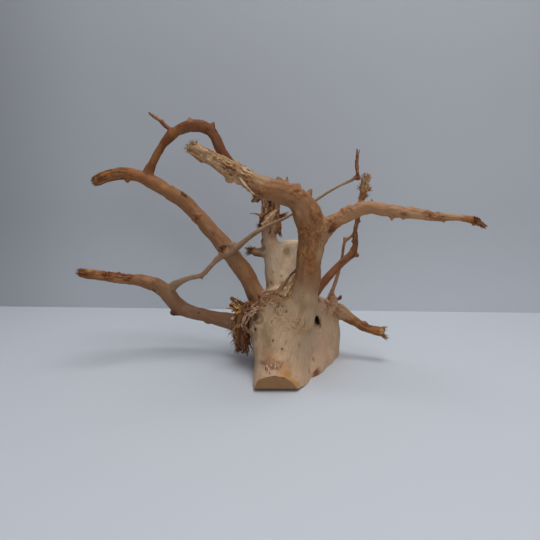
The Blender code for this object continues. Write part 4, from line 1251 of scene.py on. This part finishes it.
# The frayed mass at the left of the stump. Bands down its core: from and to as shares of the core,
# how many strands, how far they turn round it, how far out they end, radius, tones
WOUND_SEED = 21
WOUND_BANDS = [
    (0.00, 0.50, 36, 1.4, 3.5, (0.9, 2.4), ("golden", "hazel", "orange", "straw")),
    (0.12, 0.75, 44, 1.6, 4.0, (0.9, 2.4), ("golden", "hazel", "orange", "pink", "red_brown")),
    (0.45, 1.00, 44, 1.2, 4.0, (0.7, 2.0), ("orange", "red_brown", "umber", "ochre", "brown")),
    (0.05, 0.90, 30, 2.8, 2.5, (0.7, 1.6), ("hazel", "golden", "pink", "straw")),
    (0.00, 1.00, 20, 1.6, 4.0, (0.3, 0.6), ("hazel", "orange", "brown", "straw")),
]
# Tufts that stand off it: middle of the feet, way, spread of feet and ways, how many, length, radius, tones
TUFTS = [
    ((-63, 14, 66), (-0.80, -0.16, 0.58), 3.4, 20, 12, (17, 27), (1.8, 3.3), ("golden", "straw", "golden")),
    ((-65, 16, 68), (-0.60, -0.10, 0.78), 3.6, 30, 9, (14, 26), (0.3, 0.8), ("golden", "straw", "orange")),
    ((-66, 15, 64), (-0.97, -0.12, 0.10), 3.2, 20, 9, (12, 19), (1.2, 2.6), ("golden", "straw", "pink")),
    ((-68, 17, 26), (-0.10, -0.20, -1.00), 5.5, 24, 30, (5, 11), (0.5, 1.5), ("umber", "red_brown", "brown")),
    ((-71, 15, 24), (-0.80, -0.30, -0.20), 3.0, 55, 4, (7, 13), (0.25, 0.5), ("umber", "brown", "hazel")),
    ((-60, 8, 70), (-0.20, -0.60, 0.65), 5.0, 50, 9, (6, 12), (0.5, 1.3), ("hazel", "red_brown", "straw")),
]


def wound_strands(draw):
    run = RUNS["fibre_core"]
    for start, end, count, turns, out, radii, tones in WOUND_BANDS:
        for _ in range(count):
            first = draw.uniform(start, (start + end) / 2)
            last = min(end, first + draw.uniform(0.25, 0.6) * (end - start + 0.3))
            turn = draw.uniform(0, 2 * math.pi)
            drift = draw.uniform(-turns, turns)
            foot = draw.uniform(-0.6, 1.4)
            lift = draw.uniform(-0.5, out) + (draw.uniform(2, 6) if draw.random() < 0.15 else 0)
            points = []
            lies = []
            for index in range(STRAND_POINTS + 2):
                share = index / (STRAND_POINTS + 1)
                place, side, _, _ = run.place(
                    first + (last - first) * share, turn + drift * share, foot + lift * share ** 2.5)
                points.append(Vector(place))
                lies.append(Vector(side))
            tone = draw.choice(tones)
            radius = draw.uniform(*radii) * draw.uniform(0.6, 1.0)
            yield Strand(points, radius, draw.uniform(0.2, 0.7), (tone, draw.choice(tones)), lies)


def tuft_strands(draw):
    for middle, way, apart, spread, count, lengths, radii, tones in TUFTS:
        for _ in range(count):
            foot = Vector(middle) + any_way(draw) * apart * draw.random()
            tone = draw.choice(tones)
            yield loose_strand(
                draw, foot, leaning(draw, way, spread), draw.uniform(*lengths), draw.uniform(*radii),
                draw.uniform(0.15, 0.6), (tone, tone), 0.42)


# Thin roots over the stump's upper left, along picture places, with radius in mm, lift and tones
NET_ROOTS = {
    "thick": ([(259, 308), (254.5, 310), (248, 314.5), (244, 320), (242, 325.5), (245, 329)], 2.5, 0.8,
              ("pink", "straw")),
    "long": ([(270, 294.5), (264.5, 297.5), (259, 300.5), (253.5, 305.5), (248, 310), (244.5, 313.5)],
             1.2, 0.9, ("straw", "pink")),
    "under": ([(267.5, 298.5), (261.5, 301), (257, 305), (251.5, 309), (246, 315)], 0.9, 0.6,
              ("hazel", "brown")),
    "ring": ([(261.5, 299), (263.5, 303), (267, 301), (269, 296.5), (266, 294), (262, 297.5)], 0.9, 0.9,
             ("straw", "pink")),
    "ring_low": ([(263, 303), (266, 305), (270, 303), (272, 299), (270, 295.5)], 0.7, 0.6,
                 ("pink", "hazel")),
    "across": ([(267, 300), (273.5, 301), (279, 303), (283.5, 305.5), (286, 308)], 0.8, 0.3,
               ("hazel", "pale")),
    "hook": ([(255, 322), (259, 322), (262.5, 319), (263.5, 314.5)], 0.7, 0.3, ("hazel", "pale")),
    "foot": ([(240, 324), (243.5, 328.5), (247, 333), (250, 337.5), (251, 342)], 1.0, 0.5,
             ("pink", "hazel")),
    "brow": ([(258, 309), (262, 306), (267, 304), (272, 305)], 1.1, 0.3, ("hazel", "pale")),
    "top": ([(262, 293.5), (267, 291.5), (273, 291), (278, 293.5)], 0.9, 0.6, ("hazel", "straw")),
    "step": ([(277, 296), (282, 298.5), (288, 297.5), (291, 294)], 1.0, 0.3, ("hazel", "tan")),
    "side": ([(249, 302), (247, 307), (243, 312), (241, 318)], 0.9, 0.6, ("orange", "brown")),
}
NET_SEED = 33
NET_COPIES = 4
NET_JITTER = 2.4
NET_WAVER = 0.35
NET_SPACING = 2.5
FAN_SEED = 35
FAN_COUNT = 26
FAN_FOOT = ((-20, -12, 93), (-8, -11, 95))
FAN_TIP = ((-13, -6, 108), (-3, -8, 118))


def net_strands(draw, skin):
    """Each thin root that is seen, with finer ones strewn beside it."""
    for pixels, radius, lift, tones in NET_ROOTS.values():
        for copy in range(NET_COPIES + 1):
            jitter = NET_JITTER if copy else 0
            middle = (draw.uniform(-jitter, jitter), draw.uniform(-jitter, jitter))
            moved = [
                [at + off + draw.uniform(-jitter, jitter) * NET_WAVER for at, off in zip(pixel, middle)]
                for pixel in pixels
            ]
            start = draw.randrange(0, 2) if copy else 0
            points = between([skin.seen(pixel)[0] for pixel in moved[start:]], NET_SPACING)
            thick = radius * (draw.uniform(0.25, 0.55) if copy else 1.0)
            lifts = [thick * lift + (draw.uniform(0, 0.7) if copy else 0.0)] * len(points)
            yield laid_strand(skin, points, thick, 0.45, tones, lifts)


def fan_strands(draw):
    """The fan of bark strips that stands in the crotch."""
    for _ in range(FAN_COUNT):
        foot = Vector(FAN_FOOT[0]).lerp(Vector(FAN_FOOT[1]), draw.random()) + any_way(draw) * 1.5
        tip = Vector(FAN_TIP[0]).lerp(Vector(FAN_TIP[1]), draw.random()) + any_way(draw) * 2.0
        tip = foot.lerp(tip, draw.uniform(0.45, 1.0))
        bow = foot.lerp(tip, 0.5) + any_way(draw) * 1.6
        tone = draw.choice(("golden", "straw", "golden", "ochre", "bone"))
        lies = [Vector((0, -1, 0))] * 3
        yield Strand([foot, bow, tip], draw.uniform(0.5, 1.2), 0.25, (tone, tone), lies)


# Blades and small stubs: picture places, distance behind the frame's origin and radius in mm, tones
LOOSE_BLADES = [
    ([(167, 127.5), (159, 120), (152.5, 115), (148.5, 112.5)], 57, 2.7, ("brown", "hazel")),
    ([(358, 180), (357.5, 174), (356.5, 162), (357, 149)], 23, 2.8, ("twig", "chestnut")),
    ([(358, 174), (357, 166), (357, 158)], 21.0, 1.5, ("orange", "hazel")),
    ([(331, 303), (335, 301), (338, 298.5), (341.5, 295.5)], 38, 2.6, ("hazel", "red_brown")),
    ([(330, 300), (331, 294), (333, 289)], 35, 1.3, ("hazel", "brown")),
    ([(262, 226), (266, 222), (270, 217), (274, 212.5), (276.5, 210)], 35, 3.4, ("straw", "bone")),
    ([(267, 226), (271, 220), (275, 214)], 34.5, 2.2, ("pale", "straw")),
    # The next two umber strands stand in the slit and the slot of the rear trunk's torn top, as painted
    # shade.
    ([(259.5, 226), (261.5, 219.5), (266, 214), (271, 210.5)], 36, 2.0, ("umber", "red_brown")),
    ([(270, 207), (270.5, 200), (271, 195)], 41, 1.3, ("umber", "umber")),
    ([(239, 177), (242, 181), (246, 186), (250, 190), (254, 194)], -56, 1.1, ("bone", "bone")),
    ([(240, 178), (244, 182), (248, 187), (251, 190)], -55, 0.7, ("straw", "tan")),
    ([(263, 190), (259, 194), (255, 199), (252, 202)], -43, 4.2, ("fawn", "brown")),
    ([(260, 190), (257, 196), (258, 203)], -42, 3.6, ("brown", "red_brown")),
    ([(247, 189), (251, 192), (256, 195), (261, 196)], -47, 1.8, ("straw", "fawn")),
]
# Torn ends: middle, way, how far apart feet stand, spread in degrees, how many, length, radius, tones
TORN_ENDS = {
    "front_limb": ((-104, -68, 246), (-0.82, -0.50, 0.38), 4.6, 34, 90, (5, 12), (0.25, 0.8),
                   ("straw", "golden", "bone", "brown")),
    "front_limb_top": ((-104, -66, 250), (-0.3, -0.3, 0.9), 2.6, 50, 18, (4, 8), (0.2, 0.5),
                       ("straw", "orange")),
    "back_limb": ((-240, 40, 222), (-0.90, -0.15, -0.40), 5.4, 14, 60, (4, 9), (0.4, 1.1),
                  ("brown", "orange", "hazel", "ochre")),
    "low_limb": ((-255, 14, 116), (-0.96, -0.25, 0.10), 4.2, 24, 60, (4, 10), (0.3, 0.8),
                 ("umber", "red_brown", "orange", "ochre")),
    "right_limb": ((171, -58, 177), (0.80, -0.25, -0.55), 2.4, 26, 34, (3, 8), (0.25, 0.6),
                   ("red_brown", "umber", "orange")),
    "low_right_upper": ((103, 28, 42), (0.95, -0.20, 0.15), 2.6, 20, 34, (5, 10), (0.3, 0.8),
                        ("golden", "straw", "orange")),
    "low_right_lower": ((103, 28, 35), (0.92, -0.20, -0.40), 2.6, 16, 34, (7, 13), (0.3, 0.8),
                        ("golden", "straw", "ochre")),
    "rear_top": ((-33, 53, 203), (0.10, 0.10, 1.00), 7.6, 16, 70, (7, 16), (0.4, 1.3),
                 ("ochre", "straw", "umber", "tan")),
    "rear_right": ((-21, 46, 180), (0.85, -0.30, 0.30), 3.4, 34, 30, (7, 15), (0.3, 0.9),
                   ("tan", "orange", "umber")),
    "rear_barbs": ((-43, 48, 166), (-0.90, -0.20, 0.50), 5.0, 38, 30, (5, 11), (0.3, 0.8),
                   ("red_brown", "tan", "umber")),
    "rear_claw": ((-24, 43, 163), (0.10, -0.10, -1.00), 2.2, 18, 22, (6, 11), (0.3, 0.8),
                  ("red_brown", "brown", "tan")),
    "rear_fork": ((14, 58, 147), (0.95, 0.25, 0.20), 5.0, 22, 50, (6, 12), (0.3, 1.0),
                  ("straw", "tan", "ochre")),
    "side_stub": ((-58, 46, 138), (-1.00, 0.00, 0.10), 3.6, 56, 54, (6, 13), (0.3, 0.8),
                  ("umber", "red_brown", "ochre", "tan")),
    "back_root": ((18, 85, 45), (0.05, 1.00, 0.25), 6.0, 20, 50, (5, 11), (0.4, 1.1),
                  ("ochre", "brown", "umber")),
    "rag_top": ((74, 20, 221), (0.08, -0.05, 1.00), 5.2, 34, 34, (5, 12), (0.4, 1.5),
                ("straw", "bone", "hazel")),
    "rag_side": ((75, 19, 212), (0.70, -0.30, 0.50), 4.4, 60, 34, (4, 10), (0.4, 1.4),
                 ("straw", "bone", "orange")),
    "rag_foot": ((73, 20, 203), (0.50, -0.40, 0.60), 3.6, 50, 24, (4, 10), (0.4, 1.2),
                 ("straw", "orange", "hazel")),
    "rag_left": ((69, 20, 214), (-0.60, -0.30, 0.30), 2.6, 50, 14, (3, 7), (0.3, 1.0),
                 ("red_brown", "hazel", "straw")),
    "knob": ((-50, -34, 203), (-0.50, -0.30, -0.70), 3.4, 40, 14, (2, 5), (0.25, 0.6),
             ("brown", "fawn", "straw")),
}
# Grain that lifts along torn limbs: limb, from and to as shares, how many, length, radius, lift, tones
LIFTED_GRAIN = [
    ("front_limb", 0.60, 1.00, 150, (8, 26), (0.3, 0.8), 1.4, ("straw", "hazel", "bone", "straw")),
    ("front_limb", 0.56, 0.74, 60, (4, 12), (0.3, 1.0), 2.2, ("brown", "red_brown", "straw")),
    ("back_limb", 0.82, 1.00, 110, (8, 22), (0.35, 0.9), 1.2, ("brown", "umber", "tan")),
    ("back_limb", 0.30, 0.80, 40, (5, 14), (0.25, 0.6), 0.8, ("brown", "umber", "tan")),
    ("low_limb", 0.72, 1.00, 80, (6, 16), (0.3, 0.8), 1.0, ("orange", "umber", "golden", "red_brown")),
    ("low_limb", 0.30, 0.72, 30, (5, 12), (0.25, 0.6), 0.7, ("brown", "ochre")),
    ("right_limb", 0.45, 1.00, 60, (5, 14), (0.25, 0.6), 0.9, ("orange", "brown", "straw")),
    ("right_limb", 0.00, 0.40, 50, (6, 16), (0.3, 0.8), 1.0, ("straw", "pale", "ochre")),
    ("low_right_limb", 0.50, 1.00, 60, (5, 14), (0.3, 0.8), 1.0, ("golden", "orange", "brown")),
    ("rear_trunk", 0.55, 1.00, 110, (9, 26), (0.4, 1.2), 1.4, ("ochre", "straw", "umber", "cream")),
    ("rear_slab", 0.20, 1.00, 60, (8, 20), (0.4, 1.1), 1.6, ("ochre", "straw", "umber")),
    ("rear_rag", 0.10, 1.00, 90, (5, 14), (0.3, 0.9), 2.4, ("straw", "golden", "bone", "ochre")),
    ("rear_twig", 0.05, 1.00, 90, (5, 13), (0.3, 0.9), 0.8, ("red_brown", "hazel", "orange", "umber")),
    ("cross_twig", 0.00, 1.00, 40, (5, 12), (0.2, 0.4), 0.6, ("grey", "brown", "tan")),
    ("arch", 0.10, 0.95, 50, (5, 14), (0.2, 0.6), 0.8, ("brown", "umber", "tan")),
    ("crotch_twig", 0.00, 1.00, 24, (5, 14), (0.3, 0.7), 1.0, ("umber", "straw", "brown")),
]
GRAIN_SEED = 57
ENDS_SEED = 61


def end_strands(draw, skin):
    for middle, way, apart, spread, count, lengths, radii, tones in TORN_ENDS.values():
        along = Vector(way).normalized()
        for _ in range(count):
            off = any_way(draw)
            off = off - along * off.dot(along)
            foot = Vector(middle) + off * apart * draw.random() ** 0.6
            place, _, _ = skin.nearest(foot)
            foot = foot.lerp(place, 0.6) - along * draw.uniform(0.5, 2.5)
            tone = draw.choice(tones)
            yield loose_strand(
                draw, foot, leaning(draw, way, spread), draw.uniform(*lengths), draw.uniform(*radii),
                draw.uniform(0.1, 0.4), (tone, draw.choice(tones)), 0.14)


def grain_strands(draw, skin):
    for limb, start, end, count, lengths, radii, lift, tones in LIFTED_GRAIN:
        run = RUNS[limb]
        for _ in range(count):
            length = draw.uniform(*lengths)
            first = draw.uniform(start, end - 0.4 * length / run.length)
            turn = draw.uniform(0, 2 * math.pi)
            drift = draw.uniform(-0.25, 0.25)
            rise = draw.uniform(0.2, 1.0) ** 2 * lift
            radius = draw.uniform(*radii)
            points = []
            lifts = []
            for index in range(STRAND_POINTS):
                share = index / (STRAND_POINTS - 1)
                where = min(first + share * length / run.length, 1.0)
                points.append(run.place(where, turn + drift * share)[0])
                lifts.append(rise * share ** 3 - radius * 0.2)
            tone = draw.choice(tones)
            yield laid_strand(skin, points, radius, 0.25, (tone, draw.choice(tones)), lifts)


def at_depth(pixel, depth):
    """The place that a pixel shows at that distance behind the frame's origin, in mm."""
    eye, look = sight(pixel)
    return eye + look * ((depth - eye.y) / look.y)


def blade_strands():
    """Blades and small stubs that stand alone, facing the camera."""
    for pixels, depth, radius, tones in LOOSE_BLADES:
        points = [at_depth(pixel, depth) for pixel in pixels]
        yield Strand(points, radius, 0.3, tones, [Vector((0, -1, 0.3))] * len(points))


# Bark flakes: picture place, reach in mm, how many, tones
FLAKE_PATCHES = [
    ((306, 232), 11, 22, ("golden", "orange", "hazel")),
    ((306, 252), 11, 22, ("golden", "orange", "brown")),
    ((317, 240), 8, 12, ("ochre", "golden", "hazel")),
    ((330, 222), 9, 26, ("straw", "hazel", "ochre")),
    ((228, 167), 9, 44, ("straw", "brown", "red_brown", "chestnut")),
    ((218, 160), 8, 18, ("straw", "hazel", "brown")),
    ((247, 178), 9, 20, ("tan", "brown", "ochre")),
    ((272, 368), 8, 24, ("pink", "bone", "umber")),
    ((184, 195), 5, 10, ("umber", "dark", "brown")),
    ((223, 249), 5, 14, ("red_brown", "umber")),
    ((108, 275), 9, 20, ("umber", "orange", "red_brown")),
    ((126, 276), 6, 12, ("umber", "orange")),
    ((435, 216), 10, 22, ("orange", "brown", "straw")),
    ((476, 219), 7, 18, ("red_brown", "umber")),
    ((257, 201), 5, 16, ("umber", "brown")),
    ((338, 312), 9, 14, ("ochre", "tan")),
    ((328, 304), 9, 30, ("hazel", "brown", "pink")),
    ((277, 310), 13, 40, ("pale", "tan", "grey")),
    ((300, 322), 14, 24, ("pale", "straw", "grey")),
    ((331, 296), 5, 14, ("red_brown", "hazel")),
]
FLAKES_SEED = 71
FLAKES_PER_METRE = 160
STREWN_TONES = ("tan", "brown", "ochre", "hazel", "straw")
STREWN_SIZE = 0.6
FLAKE_LIMBS = ("front_limb", "main_trunk", "right_limb", "back_limb", "low_limb", "arch", "rear_trunk",
               "low_right_limb", "rear_twig", "left_buttress", "back_buttress", "right_buttress")


def flake_strand(draw, skin, place, tones, size):
    """A small peeled flake along the grain, fast at its foot and curled up at its tip."""
    foot, normal, way = skin.nearest(place)
    way = leaning(draw, way - normal * way.dot(normal), 30) * draw.choice((1, -1))
    length = draw.uniform(2.0, 5.5) * size
    width = draw.uniform(0.4, 1.1) * size
    curl = draw.uniform(0.1, 1.0) ** 2 * 1.4 * size
    points = [Vector(foot) + way * (length * share) for share in (0.0, 0.35, 0.7, 1.0)]
    lifts = (-0.15, 0.02, 0.35 * curl, curl)
    tone = draw.choice(tones)
    return laid_strand(skin, points, width, 0.5, (tone, draw.choice(tones)), lifts)


def flake_strands(draw, skin):
    """Small flakes of bark where the photograph shows rough patches, and strewn over the limbs."""
    for pixel, reach, count, tones in FLAKE_PATCHES:
        middle = Vector(skin.seen(pixel)[0])
        for _ in range(count):
            place = middle + any_way(draw) * reach * draw.random() ** 0.7
            yield flake_strand(draw, skin, place, tones, 1.0)
    for limb in FLAKE_LIMBS:
        run = RUNS[limb]
        for _ in range(round(run.length * MM * FLAKES_PER_METRE)):
            place = run.place(draw.random(), draw.uniform(0, 2 * math.pi))[0]
            yield flake_strand(draw, skin, place, STREWN_TONES, STREWN_SIZE)


def flat_sheet(name, corners):
    mesh = bpy.data.meshes.new(name)
    mesh.from_pydata([Vector(corner) for corner in corners], [], [range(len(corners))])
    return new_object(name, mesh)


def paint(name, shown, roughness):
    material, shader, _ = new_material(name)
    shader.inputs["Base Color"].default_value = (*linear(shown), 1.0)
    shader.inputs["Roughness"].default_value = roughness
    shader.inputs["Specular IOR Level"].default_value = 0.2
    return material


def shade_wall(material, shown):
    """Paints shade onto the wall: darker to the left and upwards, and lighter near the floor as if lit by
    light bounced off it.
    """
    wires = Wires(material.node_tree)
    place = wires.split(wires.add("ShaderNodeTexCoord").outputs["Object"])
    shade = wires.times(
        wires.ramp(place[0], -0.58, -0.32, 0.80, 1.0),
        wires.ramp(place[0], -0.2, 0.35, 0.98, 1.06),
        wires.ramp(place[2], 0.0, 0.20, 1.20, 1.0),
        wires.ramp(place[2], 0.20, 0.45, 1.0, 0.95),
    )
    colour = wires.shade(linear(shown), shade)
    wires.feed(material.node_tree.nodes["Principled BSDF"].inputs["Base Color"], colour)


def one_sided(material):
    """Lets the back of a sheet be looked through."""
    wires = Wires(material.node_tree)
    shader = material.node_tree.nodes["Principled BSDF"]
    clear = wires.add("ShaderNodeBsdfTransparent")
    behind = wires.add("ShaderNodeNewGeometry").outputs["Backfacing"]
    both = wires.add("ShaderNodeMixShader", {0: behind, 1: shader.outputs[0], 2: clear.outputs[0]})
    wires.feed(material.node_tree.nodes["Material Output"].inputs["Surface"], both.outputs[0])


def area_light(name, energy):
    place, size, colour = LAMPS[name]
    light = bpy.data.lights.new(name, "AREA")
    light.shape = "DISK"
    light.size = size
    light.energy = energy
    light.color = colour
    lamp = new_object(name, light)
    lamp.location = place
    lamp.rotation_euler = (Vector(LAMP_AIM) - Vector(place)).to_track_quat("-Z", "Y").to_euler()


def build_stage(settings):
    """The floor, the wall behind, soft light from above the camera, and the camera."""
    reach = settings.floor_reach
    wall_y = settings.wall_distance
    floor = flat_sheet("floor", [
        (-reach, -reach, 0), (reach, -reach, 0), (reach, reach, 0), (-reach, reach, 0)])
    floor.data.materials.append(paint("pale_floor", settings.floor_colour, 0.6))
    left = wall_y - reach * WALL_SLANT
    right = wall_y + reach * WALL_SLANT
    wall = flat_sheet("wall", [
        (-reach, left, 0), (reach, right, 0), (reach, right, reach), (-reach, left, reach)])
    wall.data.materials.append(paint("grey_wall", settings.wall_colour, 0.8))
    shade_wall(wall.data.materials[0], settings.wall_colour)
    one_sided(wall.data.materials[0])
    for name in LAMPS:
        area_light(name, getattr(settings, f"{name}_energy"))
    world = bpy.data.worlds.new("room")
    world.use_nodes = True
    back = world.node_tree.nodes["Background"]
    back.inputs["Color"].default_value = (*linear(settings.room_colour), 1.0)
    back.inputs["Strength"].default_value = settings.room_strength
    bpy.context.scene.world = world
    bpy.context.scene.view_settings.view_transform = "Standard"
    camera = bpy.data.cameras.new("camera")
    camera.sensor_width = SENSOR
    camera.lens = SENSOR * FOCAL_PIXELS / PICTURE
    camera.clip_start = 0.01
    seat = new_object("camera", camera)
    seat.location = CAMERA_PLACE
    seat.rotation_euler = (math.pi / 2 - CAMERA_PITCH, 0, 0)
    bpy.context.scene.camera = seat


def length_setting(name, description, default, **more):
    return bpy.props.FloatProperty(
        name=name, description=description, default=default, subtype="DISTANCE", unit="LENGTH", **more)


def number_setting(name, description, default, **more):
    return bpy.props.FloatProperty(name=name, description=description, default=default, **more)


def count_setting(name, description, default, **more):
    return bpy.props.IntProperty(name=name, description=description, default=default, **more)


def colour_setting(name, description, default):
    return bpy.props.FloatVectorProperty(
        name=name, description=f"{description}, as shown, 0 to 255", size=3, default=default)


class RootWoodSettings(bpy.types.PropertyGroup):
    """Sizes of the wood's skin and its relief."""

    skin_step: length_setting("Skin step", "Size of the skin's cells before thinning", 0.0009, min=0.0005)
    smooth_rounds: count_setting("Smoothing", "Rounds that ease the solid's flat facets away", 60, min=0)
    lump_height: length_setting("Lump height", "How far slow swellings rise and fall", 0.0030)
    ridge_height: length_setting("Ridge height", "How far ridges along the grain rise and fall", 0.0022)
    fine_height: length_setting("Fine height", "How far the fine grain rises and falls", 0.0007)
    crack_depth: length_setting("Crack depth", "How deep cracks and pits are", 0.0011)
    plate_height: length_setting("Plate height", "How far plates of old bark stand off the wood", 0.0014)
    fold_height: length_setting("Fold height", "How far the folds on the stump rise and fall", 0.0009)
    triangles: count_setting("Triangles", "Triangles left when the skin is thinned out", 186000, min=1000)


class RootStrandSettings(bpy.types.PropertyGroup):
    """How finely loose strands are drawn."""

    step: length_setting("Step", "Length of a strand's straight pieces", 0.0012, min=0.0003)
    wander: length_setting("Wander", "How far a strand strays to the sides", 0.0016)


class RootStageSettings(bpy.types.PropertyGroup):
    """The studio round the root."""

    floor_reach: length_setting("Floor reach", "How far the floor runs each way", 3.0)
    wall_distance: length_setting("Wall distance", "How far behind the root the wall stands", 0.266)
    floor_colour: colour_setting("Floor colour", "Colour of the floor", (206, 210, 216))
    wall_colour: colour_setting("Wall colour", "Colour of the wall", (192, 195, 200))
    room_colour: colour_setting("Room colour", "Colour of the room's light", (196, 204, 216))
    room_strength: number_setting("Room strength", "Strength of the light from all round", 0.2)
    key_energy: number_setting("Key light", "Power of the lamp above the camera", 3.4, unit="POWER")
    ceiling_energy: number_setting("Ceiling light", "Power of the lamp overhead", 14.4, unit="POWER")
    front_energy: number_setting("Front light", "Power of the weak lamp before the root", 0.85, unit="POWER")


class ROOT_OT_wood(bpy.types.Operator):
    """Build the root's wood over the part's solid"""

    bl_idname = "root.wood"
    bl_label = "Wood"

    def execute(self, context):
        build_wood(context.scene.root_wood)
        return {"FINISHED"}


class ROOT_OT_fibre(bpy.types.Operator):
    """Build the frayed mass at the left of the stump"""

    bl_idname = "root.fibre"
    bl_label = "Frayed Fibre"

    def execute(self, context):
        draw = random.Random(WOUND_SEED)
        strands = [*wound_strands(draw), *tuft_strands(draw)]
        sweep_strands("frayed_fibre", strands, context.scene.root_strands)
        return {"FINISHED"}


class ROOT_OT_rootlets(bpy.types.Operator):
    """Build the thin roots over the stump's upper left and the fan of bark in the crotch"""

    bl_idname = "root.rootlets"
    bl_label = "Rootlets"

    def execute(self, context):
        net = net_strands(random.Random(NET_SEED), wood_skin())
        fan = fan_strands(random.Random(FAN_SEED))
        sweep_strands("rootlets", [*net, *fan], context.scene.root_strands)
        return {"FINISHED"}


class ROOT_OT_splinters(bpy.types.Operator):
    """Build the fine splinters at the torn ends, and the blades that stand alone"""

    bl_idname = "root.splinters"
    bl_label = "End Splinters"

    def execute(self, context):
        strands = [*end_strands(random.Random(ENDS_SEED), wood_skin()), *blade_strands()]
        sweep_strands("end_splinters", strands, context.scene.root_strands)
        return {"FINISHED"}


class ROOT_OT_grain(bpy.types.Operator):
    """Build the strips of grain that lift along the torn limbs"""

    bl_idname = "root.grain"
    bl_label = "Lifted Grain"

    def execute(self, context):
        strands = grain_strands(random.Random(GRAIN_SEED), wood_skin())
        sweep_strands("lifted_grain", strands, context.scene.root_strands)
        return {"FINISHED"}


class ROOT_OT_bark(bpy.types.Operator):
    """Build the flakes of bark"""

    bl_idname = "root.bark"
    bl_label = "Bark Flakes"

    def execute(self, context):
        strands = flake_strands(random.Random(FLAKES_SEED), wood_skin())
        sweep_strands("bark_flakes", strands, context.scene.root_strands)
        return {"FINISHED"}


class ROOT_OT_stage(bpy.types.Operator):
    """Build the floor, the wall, the lamps and the camera"""

    bl_idname = "root.stage"
    bl_label = "Stage"

    def execute(self, context):
        build_stage(context.scene.root_stage)
        return {"FINISHED"}


class ROOT_PT_panel(bpy.types.Panel):
    """Lists what the root is built from"""

    bl_idname = "ROOT_PT_panel"
    bl_label = "Spiderwood Root"
    bl_space_type = "VIEW_3D"
    bl_region_type = "UI"
    bl_category = "Root"

    def draw(self, context):
        for operator in OPERATORS:
            self.layout.operator(operator.bl_idname)
        scene = context.scene
        for settings in (scene.root_wood, scene.root_strands, scene.root_stage):
            box = self.layout.box()
            for name in settings.__annotations__:
                box.prop(settings, name)


OPERATORS = (
    ROOT_OT_wood, ROOT_OT_fibre, ROOT_OT_rootlets, ROOT_OT_splinters, ROOT_OT_grain, ROOT_OT_bark,
    ROOT_OT_stage,
)
CLASSES = (RootWoodSettings, RootStrandSettings, RootStageSettings, *OPERATORS, ROOT_PT_panel)


def register():
    for kind in CLASSES:
        bpy.utils.register_class(kind)
    bpy.types.Scene.root_wood = bpy.props.PointerProperty(type=RootWoodSettings)
    bpy.types.Scene.root_strands = bpy.props.PointerProperty(type=RootStrandSettings)
    bpy.types.Scene.root_stage = bpy.props.PointerProperty(type=RootStageSettings)


def unregister():
    del bpy.types.Scene.root_wood
    del bpy.types.Scene.root_strands
    del bpy.types.Scene.root_stage
    for kind in reversed(CLASSES):
        bpy.utils.unregister_class(kind)


def main():
    register()
    bpy.ops.root.wood()
    bpy.ops.root.fibre()
    bpy.ops.root.rootlets()
    bpy.ops.root.splinters()
    bpy.ops.root.grain()
    bpy.ops.root.bark()
    bpy.ops.root.stage()


if __name__ == "__main__":
    main()
